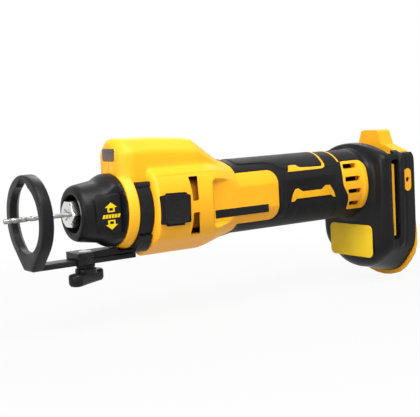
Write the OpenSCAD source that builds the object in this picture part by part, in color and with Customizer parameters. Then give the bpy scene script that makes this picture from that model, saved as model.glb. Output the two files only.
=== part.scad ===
// Cordless drywall cut-out tool, bare, with a terminal cap in place of the battery.
// Millimetres. The spindle lies on X with the bit toward -X, and Z is up.
// The origin is where the spindle's axis meets the rear face of the cap.

/* [Bit and collet] */
// Diameter of the cutting bit
bit_d = 3.2; // [2.4:0.1:4.6]
// Length of bit in front of the collet nut
bit_reach = 42; // [34:1:60]
// Share of the reach that carries flutes
flute_share = 0.8; // [0.5:0.05:0.9]
// Collet nut, across its flats
nut_across = 16; // [15:0.5:17]
// Length of the collet nut
nut_len = 12; // [11:0.5:14]
// Nut's face in front of the collar's face
nut_proud = 3; // [1:0.5:5]

/* [Lock collar] */
// Diameter at the front of the collar
collar_front_d = 34; // [32:0.5:37]
// Diameter at the rear rim of the collar
collar_rear_d = 47; // [45:0.5:47.5]
// Length of the collar
collar_len = 28.2; // [26:0.2:31]
// Flat of each side scoop, across the collar
collar_flats = 37.2; // [36:0.2:38.5]
// Height of the raised pads on the scoops
collar_pad = 1; // [0.5:0.1:1.3]

/* [Nose and barrel] */
// Diameter of the flange behind the collar, at its front
flange_front_d = 48.4; // [48:0.2:49.4]
// Diameter of the flange at its rear
flange_rear_d = 52.2; // [51.4:0.2:52.4]
// Length of the flange
flange_len = 6.5; // [6:0.1:8]
// Diameter of the neck that the guide clips on
neck_d = 48.2; // [47:0.2:48.6]
// Length of the neck
neck_len = 10; // [9:0.2:12]
// Width of the barrel
barrel_w = 62; // [60:0.5:66]
// Height of the barrel
barrel_h = 64.8; // [63.5:0.2:68]
// Length of the barrel, from its shoulder to the taper
barrel_len = 45; // [43:0.5:52]
// Length of the taper down to the grip
taper_len = 27; // [25:0.5:34]
// Thickness of the moulded walls
wall = 3; // [2.6:0.1:3.2]

/* [Lamp tower] */
// Width of the tower
tower_w = 36; // [33:0.5:38]
// Height of the tower's top over the axis
tower_top = 45; // [43:0.5:48]
// Length of the tower's level top
tower_len = 58; // [52:0.5:62]
// Rounding of the tower's front corners, seen from above
tower_round = 10; // [8:0.5:12]
// Rounding of the tower's front top edge
tower_brow = 6; // [4:0.5:6]
// Width of the lamp window
lamp_w = 14.4; // [12:0.2:15]
// Height of the lamp window
lamp_h = 7.8; // [6.8:0.2:8.4]
// Height of the lamp window's middle over the axis
lamp_z = 35; // [34:0.2:35.4]

/* [Switch buttons] */
// Length of the button's frame
button_len = 22.4; // [20:0.2:23]
// Height of the button's frame
button_h = 18.4; // [16:0.2:19]
// Width of the frame round the button
button_rim = 2; // [1.6:0.1:2.2]
// Button's face outside the barrel's side
button_proud = 1; // [0.6:0.1:1.6]
// Distance that a button moves
button_travel = 1.2; // [0.8:0.1:1.3]

/* [Grip] */
// Diameter of the grip
grip_d = 51; // [50:0.2:53]
// Length of the grip, from the taper to the foot
grip_len = 119; // [114:0.5:126]
// Thickness of the soft skin
skin = 2; // [1.8:0.1:2.2]
// Flat of the side panels, from the middle
panel_y = 24.3; // [24:0.1:24.8]
// Height of the side panel's tongue
tongue_h = 34; // [30:0.5:36]
// Length of tongue that reaches into the skin
tongue_len = 33.5; // [28:0.5:36]
// Length of the pocket for the badge
pocket_len = 51; // [48:0.5:54]
// Height of the pocket for the badge
pocket_h = 17; // [15:0.5:18]
// Length of the badge
badge_len = 41; // [37:0.5:44]
// Height of the badge
badge_h = 9; // [7:0.5:11]

/* [Vents] */
// Width of the exhaust slots
exhaust_w = 5.4; // [4.6:0.2:6]
// Height of each exhaust slot
exhaust_h = 15; // [13:0.5:16]
// Bar between the exhaust slots
exhaust_bar = 7.5; // [6:0.5:9]
// Length of the intake louvre
intake_len = 20; // [19:0.5:23]
// Height of the intake louvre
intake_h = 35; // [32:0.5:37]
// Height of each intake slot
intake_slot = 4.6; // [4:0.1:5]

/* [Foot and cap] */
// Width of the foot
foot_w = 72; // [71:0.5:76]
// Foot's top over the axis
foot_top = 30; // [29:0.5:32]
// Foot's bottom under the axis
foot_drop = 67; // [64:0.5:70]
// Depth of the foot along the axis
foot_depth = 33.3; // [32:0.3:36]
// Thickness of the cap's rear plate
cap_t = 2; // [1.6:0.1:2.6]
// Depth of the foot's heel below its front
heel_drop = 5.5; // [3:0.5:7]
// How far the cap reaches below the heel
cap_drop = 3; // [2:0.5:8]
// Cap's tab over the foot's top
tab_h = 8.5; // [6:0.5:11]
// Width of the cap's tab
tab_w = 19; // [16:0.5:24]
// Diameter of the threaded anchor holes
anchor_d = 4; // [3:0.2:5]
// Width of the rating plate
plate_w = 46; // [40:0.5:48]
// Height of the rating plate
plate_h = 24.6; // [22:0.2:25.4]

/* [Depth guide] */
// Outer diameter of the guide ring
ring_d = 54.2; // [52:0.2:56]
// Diameter of the ring's opening
ring_hole_d = 40.6; // [38:0.2:42]
// Thickness of the ring
ring_t = 7.4; // [6:0.2:9]
// Ring's front face behind the bit's tip
ring_back = 13; // [11:0.5:17]
// Width of the guide's bar
bar_w = 12.6; // [11.6:0.2:13.6]
// Thickness of the guide's bar
bar_t = 3.6; // [3.2:0.1:4.2]
// Thickness of the clip's band
band_t = 2.3; // [2:0.1:2.5]
// Half of the clip's opening at the top, degrees from upright
clip_open = 50; // [49:0.5:54]
// Diameter of the clamp screw
screw_d = 5; // [4.5:0.1:5.2]
// Clamp screw's axis behind the collar's front
screw_back = 7.6; // [6:0.2:9]
// Forward travel of the guide
guide_out = 28; // [24:0.5:29]
// Rearward travel of the guide
guide_in = 3; // [2:0.5:3.2]
// Length of the knob's wings, tip to tip
wing_len = 32; // [27:0.5:34]
// Width of a wing
wing_w = 11; // [9:0.5:12]
// Height of the wings
wing_h = 7.8; // [6.5:0.1:10]
// Knob's turn from the tool's length, degrees
wing_turn = 30; // [0:5:90]

/* [Motor] */
// Air left between the barrel's side and the stator
motor_gap = 8.7; // [8.4:0.1:9.2]
// Length of the stator's core
stator_len = 19; // [18:0.5:20.5]
// Diameter of the shaft in the front bearing
shaft_d = 8; // [7:0.2:8.4]
// Outer diameter of the front bearing
front_bearing_d = 22; // [20:0.5:22.5]
// Width of the front bearing
front_bearing_w = 7; // [6:0.2:7.2]
// Outer diameter of the rear bearing
rear_bearing_d = 19; // [17:0.5:20]
// Width of the rear bearing
rear_bearing_w = 6; // [5:0.2:6.2]
// Number of stator teeth
teeth = 6; // [6:1:6]
// Number of fan blades
blades = 9; // [7:2:13]

/* [Fits] */
// Gap between pieces that are fitted together
fit = 0.15; // [0.1:0.01:0.2]
// Radial gap of parts that turn
run = 0.05; // [0.03:0.01:0.08]
// Gap of pieces pressed together
press = 0.02; // [0.01:0.01:0.03]
// Gap of parts that slide
slide = 0.3; // [0.2:0.05:0.35]

/* [Hidden] */

// Overrun of every cut
cut = 2;
// Length of a step in the moulded skin
step = 0.05;
// Round faces are true circles
$fn = 64;
// Corner points of a rounded outline, per corner
arc_steps = 4;

// Stations along the axis, from the rear
x_foot_rear = -cap_t - fit;
x_foot = x_foot_rear - foot_depth;
x_taper_rear = x_foot - grip_len;
x_taper = x_taper_rear - taper_len;
x_shoulder = x_taper - barrel_len;
x_neck = x_shoulder - neck_len;
x_nose = x_neck - flange_len;
x_collar_rear = x_nose - slide;
x_collar = x_collar_rear - collar_len;
x_nut = x_collar - nut_proud;
x_tip = x_nut - bit_reach;
// Skin starts a little before the taper ends
skin_lap = 3;
x_skin = x_taper_rear - skin_lap;
// Foot's throat reaches forward round the end of the grip
throat = 8.5;
x_throat = x_foot - throat;

// Outline of the moulded body, as a distance from the axis
grip_r = grip_d / 2;
neck_r = neck_d / 2;
box_power = 24;
box_y_share = 0.79;
box_z_share = 0.65;
roof_share = 1.05;
side_share = 1.065;
crown_share = 1.03;
shoulder_round = 3;
edge_power = 22;
join_power = 18;
bevel_share = 0.86;
brow_drop = 5;
slope_share = 0.93;
tail_share = 0.55;
tower_tail = 12;
tower_side_share = 0.72;
x_slope = x_nose + tower_len;
panel_step = 2.5;
panel_lead = 2.5;
x_panel = x_taper + panel_lead;
bond = 0.05;

function mix(a, b, t) = a + (b - a) * t;
function ramp(x, x0, x1) = max(0, min(1, (x - x0) / (x1 - x0)));
function ease(t) = t * t * (3 - 2 * t);
function rise(t) = sqrt(max(0, 1 - (1 - t) * (1 - t)));

// Half width or half height of the round body
function core_half(x, full) = mix(full, grip_r, ease(ramp(x, x_taper, x_taper_rear)));
function round_half(x, full) =
    x < x_neck ? mix(flange_front_d, flange_rear_d, ramp(x, x_nose, x_neck)) / 2
    : x < x_shoulder ? neck_r
    : mix(neck_r, core_half(x, full), rise(ramp(x, x_shoulder, x_shoulder + shoulder_round)));
// Section with bowed sides, and slopes from their shoulders to the middle
function box_r(w, h, a) =
    let (c = abs(cos(a)), s = abs(sin(a)), y1 = w * box_y_share, z1 = h * box_z_share, top = h * roof_share)
    let (roof = (s * (top - z1) + c * y1) / (y1 * top))
    let (bow = sqrt(pow(s / w, 2) + pow(c / h / side_share, 2)))
    1 / pow(pow(bow, box_power) + pow(roof, box_power) + pow(c / h / crown_share, box_power), 1 / box_power);
function round_r(x, a) =
    let (w = round_half(x, barrel_w / 2), h = round_half(x, barrel_h / 2))
    let (t = ramp(x, x_shoulder, x_shoulder + shoulder_round) * (1 - ease(ramp(x, x_taper, x_taper_rear))))
    mix(1 / sqrt(pow(sin(a) / w, 2) + pow(cos(a) / h, 2)), box_r(w, h, a), t);

// Height and half width of the lamp tower
function tower_high(x) =
    x < x_slope ? tower_top - brow_drop * (1 - rise(ramp(x, x_nose, x_nose + tower_brow)))
    : x < x_skin ? mix(tower_top, grip_r * slope_share, ramp(x, x_slope, x_skin))
    : mix(grip_r * slope_share, grip_r * tail_share, ramp(x, x_skin, x_skin + tower_tail));
function tower_side(x) =
    mix(tower_w / 2, tower_w / 2 * tower_side_share, ramp(x, x_slope, x_skin))
    - tower_round * (1 - rise(ramp(x, x_nose, x_nose + tower_round)));
function tower_r(x, a) = cos(a) <= 0 ? 0 :
    let (c = cos(a), s = sin(a), h = tower_high(x), w = tower_side(x))
    let (d = (h + w) * sqrt(1 / 2) * bevel_share)
    1 / pow(pow(c / h, edge_power) + pow(s / w, edge_power)
        + pow((c + s) * sqrt(1 / 2) / d, edge_power), 1 / edge_power);

// Body with its tower, and with the panels' flats
function body_r(x, a) = pow(pow(round_r(x, a), join_power) + pow(tower_r(x, a), join_power), 1 / join_power);
function flat_y(x) = mix(barrel_w / 2, panel_y, ease(ramp(x, x_panel, x_panel + panel_step)));
function panel_r(x, a) = sin(a) < step ? body_r(x, a) : min(body_r(x, a), flat_y(x) / sin(a));

// Angles from the top, down one side
low_angles = [49, 56, 63, 72, 82, 90, 98, 108, 117, 124, 131, 142, 152, 162, 171, 180];
angles = concat([for (a = [0:6:42]) a], low_angles);

// Point at an angle from the top, on the photographed side
function place(x, r, a) = [x, -r * sin(a), r * cos(a)];

// Section like a C: the outside down, then the inside back up
function c_ring(x, outer, inner) = let (n = len(angles)) concat(
    [for (i = [0:n - 1]) place(x, outer[i], angles[i])],
    [for (i = [n - 1:-1:0]) place(x, inner[i], angles[i])]);

// Solid through a row of sections
module loft(rings, hollow) {
    n = len(rings[0]);
    m = len(rings);
    h = n / 2;
    last = (m - 1) * n;
    ends = hollow
        ? [for (i = [0:h - 2]) each [[i, i + 1, n - 2 - i, n - 1 - i],
            [last + n - 1 - i, last + n - 2 - i, last + i + 1, last + i]]]
        : [[for (i = [0:n - 1]) i], [for (i = [n - 1:-1:0]) last + i]];
    sides = [for (k = [0:m - 2], i = [0:n - 1])
        let (a = k * n + i, b = k * n + (i + 1) % n)
        each [[a, a + n, b + n], [a, b + n, b]]];
    polyhedron(points = [for (r = rings) each r], faces = concat(ends, sides), convexity = 8);
}

// Round bar along each axis
module x_bar(x0, x1, r) {
    translate([x0, 0, 0]) rotate([0, 90, 0]) cylinder(h = x1 - x0, r = r);
}
module y_bar(y0, y1, r) {
    translate([0, y1, 0]) rotate([90, 0, 0]) cylinder(h = y1 - y0, r = r);
}
module z_bar(z0, z1, r) {
    translate([0, 0, z0]) cylinder(h = z1 - z0, r = r);
}
// Turned part on the X axis, from pairs of radius and place
module turned(points) {
    rotate([0, 90, 0]) rotate_extrude() polygon(points);
}
// Outline drawn in X and Z, raised along Y
module y_prism(y0, y1, points) {
    translate([0, y1, 0]) rotate([90, 0, 0]) linear_extrude(height = y1 - y0) polygon(points);
}
// Outline drawn in Y and Z, raised along X
module x_prism(x0, x1, points) {
    translate([x0, 0, 0]) rotate([90, 0, 90]) linear_extrude(height = x1 - x0) polygon(points);
}
module block(x0, x1, y0, y1, z0, z1) {
    translate([x0, y0, z0]) cube([x1 - x0, y1 - y0, z1 - z0]);
}
// Rounded outline between two corners
function rounded(u0, u1, v0, v1, r) = [
    for (c = [[u1 - r, v1 - r, 0], [u0 + r, v1 - r, 90], [u0 + r, v0 + r, 180], [u1 - r, v0 + r, 270]])
        for (i = [0:arc_steps])
            [c[0] + r * cos(c[2] + 90 * i / arc_steps), c[1] + r * sin(c[2] + 90 * i / arc_steps)]];
// One side of the tool, or its mirror image
module side(right) {
    mirror([0, right ? 1 : 0, 0]) children();
}

// Motor, from front to rear
stator_r = min(barrel_w, barrel_h) / 2 - motor_gap;
stator_lead = 0.6;
x_stator = x_shoulder + stator_lead;
x_stator_rear = x_stator + stator_len;
coil_end = 3;
board_t = 1.6;
board_gap = 0.4;
x_sensor = x_stator_rear + coil_end + board_gap;
fan_gap = 0.8;
fan_len = 8;
x_fan = x_sensor + board_t + fan_gap;
x_fan_rear = x_fan + fan_len;
rear_gap = 1.6;
x_rear_bearing = x_fan_rear + rear_gap;
x_spindle_rear = x_rear_bearing + rear_bearing_w + fit;
rotor_share = 0.5;
rotor_r = stator_r * rotor_share;
air_gap = 0.5;
tooth_share = 0.269;
tooth_w = stator_r * tooth_share;
yoke_share = 0.1614;
yoke = stator_r * yoke_share;
// Height at which the motor's leads run back, half way between the stator and the wall
lead_z = -(stator_r + barrel_h / 2 - wall) / 2;

// Bearing carrier and its snout, inside the neck
carrier_r = neck_r - wall - fit;
x_carrier = x_nose + wall + fit;
front_bearing_lip = 1.6;
x_front_bearing = x_carrier + front_bearing_lip;
x_carrier_rear = x_front_bearing + front_bearing_w + press;
snout_r = 14.5;
snout_hole_r = 10.9;
snout_len = 19;
x_snout = x_nose - snout_len;
ring_width = 1.2;
ring_land = 0.5;
ring_depth = 0.9;
x_clip_ring = x_snout + ring_land;

// Exhaust slots sit over the fan
x_exhaust = (x_fan + x_fan_rear) / 2 - exhaust_w / 2;
exhaust_round = 1.2;

// Buttons on both sides
button_lead = 2.2;
x_button = x_shoulder + button_lead + button_len / 2;
button_round = 3.5;
flange_t = 1.1;
flange_wide = 1;
frame_proud = 0.4;
switch_w = 12;
switch_gap = 0.1;
switch_t = 0.9;
dome_t = 0.9;
dome_d = 6;
switch_y = stator_r + fit;
flange_y = switch_y + switch_t + dome_t + switch_gap + button_travel;
frame_y = flange_y + flange_t + fit;
rib_gap = 11.5;

// Lamp
lamp_round = 1.5;
lens_t = wall;

// Side panel's tongue in the skin
tongue_round = 9;
tongue_gap = 2;
island_root = 1;

// Intake louvre at the rear of the grip
intake_round = 6;
intake_gap = 0.6;
x_intake_rear = x_throat - intake_gap;
x_intake = x_intake_rear - intake_len;
intake_slots = 4;
intake_edge = 3.4;
louvre_len_share = 0.6;

// Pocket and badge on the skin
pocket_depth = 1.5;
pocket_gap = 4;
x_pocket_rear = x_intake - pocket_gap;
x_pocket = x_pocket_rear - pocket_len;
pocket_round = 3;
badge_t = 0.7;
badge_back = 1.2;
x_badge = (x_pocket + x_pocket_rear - badge_len) / 2 + badge_back;
x_tongue = min(x_skin + tongue_len, x_badge - tongue_gap);
pocket_y = grip_r - pocket_depth;

// Screws that hold the halves, driven from the hidden side
case_screw_d = 3;
case_head_d = 5.6;
case_head_h = 2.4;
case_screw_len = 15;
boss_d = 6.4;
pilot_gap = 0.1;
low_share = 0.84;
grip_low_share = 0.66;
grip_screw_share = 0.12;
rear_screw_share = 0.62;
tower_screw_share = 0.72;
seat_y = 6;
low_boss = 12;
grip_boss = 10;
screw_places = [
    [x_button, -barrel_h / 2 * low_share, low_boss],
    [x_nose + tower_len * tower_screw_share, (tower_top + barrel_h / 2) / 2 - boss_d, tower_w / 2 - wall / 2],
    [x_taper_rear + grip_len * grip_screw_share, -grip_r * grip_low_share, grip_boss],
    [x_taper_rear + grip_len * rear_screw_share, -grip_r * grip_low_share, grip_boss]];

// Foot, its bay and the rails
foot_wall = 3;
bay_y = foot_w / 2 - foot_wall;
bay_front_gap = 8.5;
x_bay = x_foot + bay_front_gap;
flange_zone = 6.7;
rail_w = 6;
rail_h = 4;
rail_y = bay_y - rail_h;
x_rail = x_bay + flange_zone;
x_rail_rear = x_rail + rail_w;
bay_floor = 4;
bay_bottom = -foot_drop + bay_floor;
chamber = 3;
chamber_t = 3.2;
window_top = 17;
window_share = 0.64;
window_bottom = -foot_drop * window_share;
window_len = 8.6;
spigot_len = 6;
bore_wall = 2.4;
sub_r = grip_r - skin - bond;
spigot_r = sub_r - wall - fit;
throat_r = spigot_r - bore_wall;
foot_power = 16;
foot_fillet = 7;
foot_edge = 8;
foot_draft = 0.4;
half_growth_share = 0.45;
wall_top = 21;
shoulder_share = 0.34;
low_side_share = 0.72;
bottom_share = 0.42;
foot_low_edge = 12;
edge_from = 100;
edge_to = 150;
heel_from = 142;
heel_to = 170;

// Distance to a sloped side that runs through two points, seen at an angle
function sloped(y1, z1, y2, z2, s, c) =
    let (ny = abs(z2 - z1), nz = abs(y2 - y1))
    (ny * s + nz * c) / (ny * y1 + nz * abs(z1));
function foot_r(a) =
    let (c = abs(cos(a)), s = abs(sin(a)), w = foot_w / 2, up = cos(a) > 0)
    let (flat = up ? c / foot_top : c / foot_drop)
    let (slope = up ? sloped(w, wall_top, w * shoulder_share, foot_top, s, c)
        : sloped(w, foot_drop * low_side_share, w * bottom_share, foot_drop, s, c))
    1 / pow(pow(s / w, foot_power) + pow(flat, foot_power) + pow(slope, foot_power), 1 / foot_power);

// Terminal block
block_w = 30;
block_top = 12;
block_bottom = -32;
block_depth = 14;
neck_in = 4;
blade_t = 0.8;
blade_out = 6;
blade_in = 5;
blade_pitch = 5.2;
blade_top = -2;
blade_bottom = -24;
blade_rows = 5;

// Anchor inserts in the foot's sides
anchor_back = 7.5;
x_anchor = x_foot_rear - anchor_back;
anchor_z = 1;
anchor_len = 17;
anchor_wide = 7;
anchor_deep = 2.2;
anchor_boss_d = 8.4;
anchor_boss_in = 3.6;

// Guide clip and guide bar
clip_r = neck_r + fit;
band_r = clip_r + band_t;
band_gap = 0.2;
flange_clear = 0.25;
arm_t = 1.9;
arm_top = -flange_rear_d / 2 - flange_clear;
arm_bottom = arm_top - arm_t;
pad_clear = 0.8;
pad_top = -collar_rear_d / 2 - pad_clear;
bar_top = arm_bottom - slide;
bar_bottom = bar_top - bar_t;
sleeve_front = 1.4;
sleeve_len = 10.8;
sleeve_wall = 1.8;
x_screw = x_collar + screw_back;
x_sleeve = x_collar - sleeve_front;
lip_h = 3;
lip_rise = 0.6;
lip_out = 1.6;
x_ring = x_tip + ring_back;
x_ring_rear = x_ring + ring_t;
bar_end = 4;
x_bar_rear = x_shoulder - bar_end;
slot_gap = 0.3;
ring_bevel = 1.4;
toe = 3;
notch_low = 6;
notch_high = 4;
notch_rim = 2;
hex_across = 8;
hex_h = 2.6;
screw_floor = 0.6;
knob_collar_r = 6.1;
knob_collar_h = 5;
knob_gap = 0.1;
knob_z = bar_bottom - knob_gap;
wing_round_share = 0.48;

// Inside of the grip
module_share = 0.72;
module_high_share = 0.62;
module_front_share = 0.05;
module_len_share = 0.52;
lead_r = 1.1;
hollow_r = sub_r - wall;
x_module = x_taper_rear + grip_len * module_front_share;
x_module_rear = x_module + grip_len * module_len_share;

plastic_yellow = [0.96, 0.72, 0.05];
rubber_black = [0.09, 0.09, 0.1];
steel_grey = [0.72, 0.73, 0.75];
copper = [0.72, 0.4, 0.2];
board_green = [0.1, 0.35, 0.2];

// Stations of the housing halves
front_x = [x_nose, x_nose + wall - step, x_nose + wall, x_nose + tower_brow, x_neck - step, x_neck, x_shoulder - step,
    x_shoulder, x_shoulder + shoulder_round / 4, x_shoulder + shoulder_round, mix(x_shoulder, x_taper, 0.5), x_slope,
    x_panel, x_panel + panel_step];
taper_shares = [0.35, 0.55, 0.72];
taper_x = [for (t = taper_shares) mix(x_taper, x_taper_rear, t)];
rear_x = [x_skin - step, x_skin, x_taper_rear, mix(x_skin, x_skin + tower_tail, 1), mix(x_taper_rear, x_throat, 0.5), x_throat];

function shell_r(x, a) = x < x_skin ? panel_r(x, a) : body_r(x, a) - skin - bond;
function hollow(x, a) = x < x_nose + wall ? snout_r + fit : shell_r(x, a) - wall;

// Half of the housing before its openings
module housing_shell() {
    xs = concat(front_x, taper_x, rear_x);
    loft([for (x = xs) c_ring(x, [for (a = angles) shell_r(x, a)], [for (a = angles) hollow(x, a)])], true);
}

// Raised island of the housing in a window of the skin
module island(x0, x1, points, flat) {
    xs = [for (i = [0:island_steps]) mix(x0, x1, i / island_steps)];
    intersection() {
        loft([for (x = xs) c_ring(x, [for (a = angles) flat ? panel_r(x, a) : body_r(x, a)],
            [for (a = angles) body_r(x, a) - skin - island_root])], true);
        y_prism(-barrel_w, -grip_r * island_share, points);
    }
}
island_steps = 4;
island_share = 0.3;
tongue_points = rounded(x_skin - tongue_round - cut, x_tongue, -tongue_h / 2, tongue_h / 2, tongue_round);
intake_points = rounded(x_intake, x_intake_rear, -intake_h / 2, intake_h / 2, intake_round);

// Ring ribs that hold the stator, open where the switches lie
rib_t = 2.5;
rib_lead = 3.5;
// Half of a wall across the barrel, let into its shell
module cross_wall(x0, x1, inner) {
    loft([for (x = [x0, x1]) c_ring(x, [for (a = angles) round_r(x, a) - wall / 2], [for (a = angles) inner])], true);
}
module stator_rib(x) {
    difference() {
        cross_wall(x, x + rib_t, stator_r - wall);
        x_bar(x - cut, x + rib_t + cut, stator_r + press);
        block(x - cut, x + rib_t + cut, -barrel_w, -switch_w, -rib_gap, rib_gap);
    }
}
// Bulkhead that carries the rear bearing
bulk_t = 3;
hub_wall = 3;
slot_y = 6.5;
slot_low = 2.65;
slot_high = 5.85;
slot_z0 = lead_z - slot_low;
slot_z1 = lead_z + slot_high;
module bulkhead() {
    difference() {
        union() {
            intersection() {
                x_bar(x_rear_bearing, x_spindle_rear, rear_bearing_d / 2 + hub_wall);
                block(x_fan, x_panel, -barrel_w, 0, -barrel_h, barrel_h);
            }
            cross_wall(x_spindle_rear - bulk_t, x_spindle_rear, rear_bearing_d / 2 - hub_wall);
        }
        x_bar(x_rear_bearing - cut, x_spindle_rear + cut, rear_bearing_d / 2 + press);
        block(x_fan, x_panel, -slot_y, cut, slot_z0, slot_z1);
        block(x_fan, x_panel, -slot_y, cut, -slot_z1, barrel_h);
    }
}
module boss(p) {
    translate([p[0], 0, p[1]]) y_bar(-p[2], 0, boss_d / 2);
}
// Half of the housing with everything that both sides share
module housing_half() {
    difference() {
        union() {
            housing_shell();
            island(x_skin - step, x_tongue + cut, tongue_points, true);
            island(x_intake - cut, x_intake_rear + cut - intake_gap / 2, intake_points, false);
            stator_rib(x_stator + rib_lead);
            stator_rib(x_stator_rear - rib_lead - rib_t);
            bulkhead();
            for (p = screw_places) boss(p);
        }
        x_prism(x_nose - cut, x_nose + wall + cut, rounded(-lamp_w / 2 - fit, lamp_w / 2 + fit,
            lamp_z - lamp_h / 2 - fit, lamp_z + lamp_h / 2 + fit, lamp_round));
        y_prism(-barrel_w, -switch_w, rounded(x_button - button_len / 2 - fit, x_button + button_len / 2 + fit,
            -button_h / 2 - fit, button_h / 2 + fit, button_round));
        for (z = [exhaust_bar / 2, -exhaust_bar / 2 - exhaust_h])
            y_prism(-barrel_w, -switch_w, rounded(x_exhaust, x_exhaust + exhaust_w, z, z + exhaust_h, exhaust_round));
        for (i = [0:intake_slots - 1]) intake_cut(i);
    }
}
module intake_cut(i) {
    pitch = (intake_h - 2 * intake_edge - intake_slot) / (intake_slots - 1);
    z = -intake_h / 2 + intake_edge + pitch * i;
    x0 = x_intake + intake_edge;
    block(x0, x0 + intake_len * louvre_len_share, -barrel_w, -switch_w, z, z + intake_slot);
}

module housing_left() {
    color(plastic_yellow) difference() {
        housing_half();
        for (p = screw_places) translate([p[0], 0, p[1]])
            y_bar(seat_y - case_screw_len - pilot_gap, cut, case_screw_d / 2 + press);
    }
}
module housing_right() {
    color(plastic_yellow) difference() {
        side(true) housing_half();
        for (p = screw_places) translate([p[0], 0, p[1]]) {
            y_bar(-cut, seat_y + cut, case_screw_d / 2 + fit);
            y_bar(seat_y, barrel_w, case_head_d / 2 + fit);
        }
    }
}
module housing_screws() {
    color(steel_grey) for (p = screw_places) translate([p[0], 0, p[1]]) difference() {
        union() {
            y_bar(seat_y - case_screw_len, seat_y + press, case_screw_d / 2);
            y_bar(seat_y + press, seat_y + case_head_h, case_head_d / 2);
        }
        translate([0, seat_y + case_head_h + cut, 0]) rotate([90, 0, 0])
            cylinder(h = cut + drive_depth, r = drive_r, $fn = 6);
    }
}
drive_depth = 1.4;
drive_r = 1.4;

// Half of the soft skin
module skin_half() {
    xs = [x_skin + bond, x_taper_rear, x_skin + tower_tail, mix(x_taper_rear, x_throat, 0.5), x_throat - bond];
    difference() {
        loft([for (x = xs) c_ring(x, [for (a = angles) body_r(x, a)], [for (a = angles) body_r(x, a) - skin])], true);
        y_prism(-barrel_w, -switch_w, rounded(x_skin - tongue_round - cut, x_tongue + bond,
            -tongue_h / 2 - bond, tongue_h / 2 + bond, tongue_round + bond));
        y_prism(-barrel_w, -switch_w, rounded(x_intake - bond, x_intake_rear + bond,
            -intake_h / 2 - bond, intake_h / 2 + bond, intake_round + bond));
        y_prism(-barrel_w, -pocket_y, rounded(x_pocket, x_pocket_rear, -pocket_h / 2, pocket_h / 2, pocket_round));
    }
}
module grip_left() {
    color(rubber_black) skin_half();
}
module grip_right() {
    color(rubber_black) difference() {
        side(true) skin_half();
        for (p = screw_places) translate([p[0], 0, p[1]]) y_bar(seat_y, barrel_w, case_head_d / 2 + slide);
    }
}

// Half of the foot
fillet_turns = [0, 30, 60, 90];
edge_turns = [0, 30, 60, 90];
function low_edge(a) = mix(foot_edge, foot_low_edge, ease(ramp(a, edge_from, edge_to)));
function rear_r(a) = foot_r(a) * (1 + heel_drop / foot_drop * ease(ramp(a, heel_from, heel_to)));
function foot_ring(kind, t) = [for (a = angles)
    let (o = foot_r(a), g = o - grip_r)
    let (rf = min(foot_fillet, g * half_growth_share), ro = min(low_edge(a), g * half_growth_share))
    kind == "in" ? place(x_foot - rf + rf * sin(t), grip_r + rf - rf * cos(t), a)
    : place(x_foot + foot_draft + ro - ro * cos(t), o - ro + ro * sin(t), a)];
module foot_solid() {
    loft(concat([[for (a = angles) place(x_throat, grip_r, a)]],
        [for (t = fillet_turns) foot_ring("in", t)],
        [for (t = edge_turns) foot_ring("out", t)],
        [[for (a = angles) place(x_foot_rear, rear_r(a), a)]]), false);
}
bay_top = 60;
function bay(y) = [[cut, bay_top], [-y, bay_top], [-y, -foot_drop * low_side_share + bay_floor],
    [-foot_w / 2 * bottom_share, bay_bottom], [cut, bay_bottom]];
port_y = 12;
port_top = 8;
port_bottom = -28;
port_lip = 4;
spigot_lap = 1;
window_lead = 0.4;
module foot_half() {
    difference() {
        union() {
            difference() {
                foot_solid();
                x_prism(x_bay, x_rail + step, bay(bay_y));
                x_prism(x_rail, x_rail_rear, bay(rail_y));
                x_prism(x_rail_rear - step, x_foot_rear + cut, bay(bay_y));
                block(x_foot + foot_wall, x_bay - chamber_t, -port_y - port_lip - slide, cut,
                    port_bottom - port_lip - slide, port_top + port_lip + slide);
                block(x_foot + foot_wall, x_bay + cut, -port_y - fit, cut, port_bottom - fit, port_top + fit);
                block(x_bay + window_lead, x_bay + window_lead + window_len, -foot_w, -bay_y + step,
                    window_bottom, window_top);
            }
            intersection() {
                x_bar(x_throat - spigot_len, x_throat + spigot_lap, spigot_r);
                block(x_throat - spigot_len, x_throat + spigot_lap, -foot_w, 0, -foot_drop, foot_drop);
            }
            translate([x_anchor, 0, anchor_z]) y_bar(-bay_y - spigot_lap, -bay_y + anchor_boss_in, anchor_boss_d / 2);
        }
        x_bar(x_throat - spigot_len - cut, x_foot + foot_wall + step, throat_r);
        translate([x_anchor, 0, anchor_z]) y_bar(-foot_w, 0, anchor_stem_r + press);
        y_prism(-foot_w, -foot_w / 2 + anchor_deep + press, stadium(fit));
    }
}
anchor_stem_r = 2.9;
function stadium(gap) = rounded(x_anchor - anchor_wide / 2 - gap, x_anchor + anchor_wide / 2 + gap,
    anchor_z - anchor_len / 2 - gap, anchor_z + anchor_len / 2 + gap, anchor_wide / 2);
module foot_left() {
    color(rubber_black) foot_half();
}
module foot_right() {
    color(rubber_black) side(true) foot_half();
}
module anchor() {
    difference() {
        union() {
            y_prism(-foot_w / 2 + anchor_sunk, -foot_w / 2 + anchor_deep, stadium(0));
            translate([x_anchor, 0, anchor_z]) y_bar(-foot_w / 2 + anchor_deep - step, -bay_y + anchor_boss_in, anchor_stem_r);
        }
        translate([x_anchor, 0, anchor_z]) y_bar(-foot_w, 0, anchor_d / 2);
    }
}
anchor_sunk = 0.1;
module anchor_left() {
    color(plastic_yellow) anchor();
}
module anchor_right() {
    color(plastic_yellow) side(true) anchor();
}
// Plate on the foot's front face, under the grip
plate_t = 0.8;
plate_round = 4;
plate_gap = 6.5;
plate_top = -grip_r - plate_gap;
module rating_plate() {
    color(plastic_yellow) x_prism(x_foot - plate_t, x_foot - press, rounded(-plate_w / 2, plate_w / 2,
        plate_top - plate_h, plate_top, plate_round));
}
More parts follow.
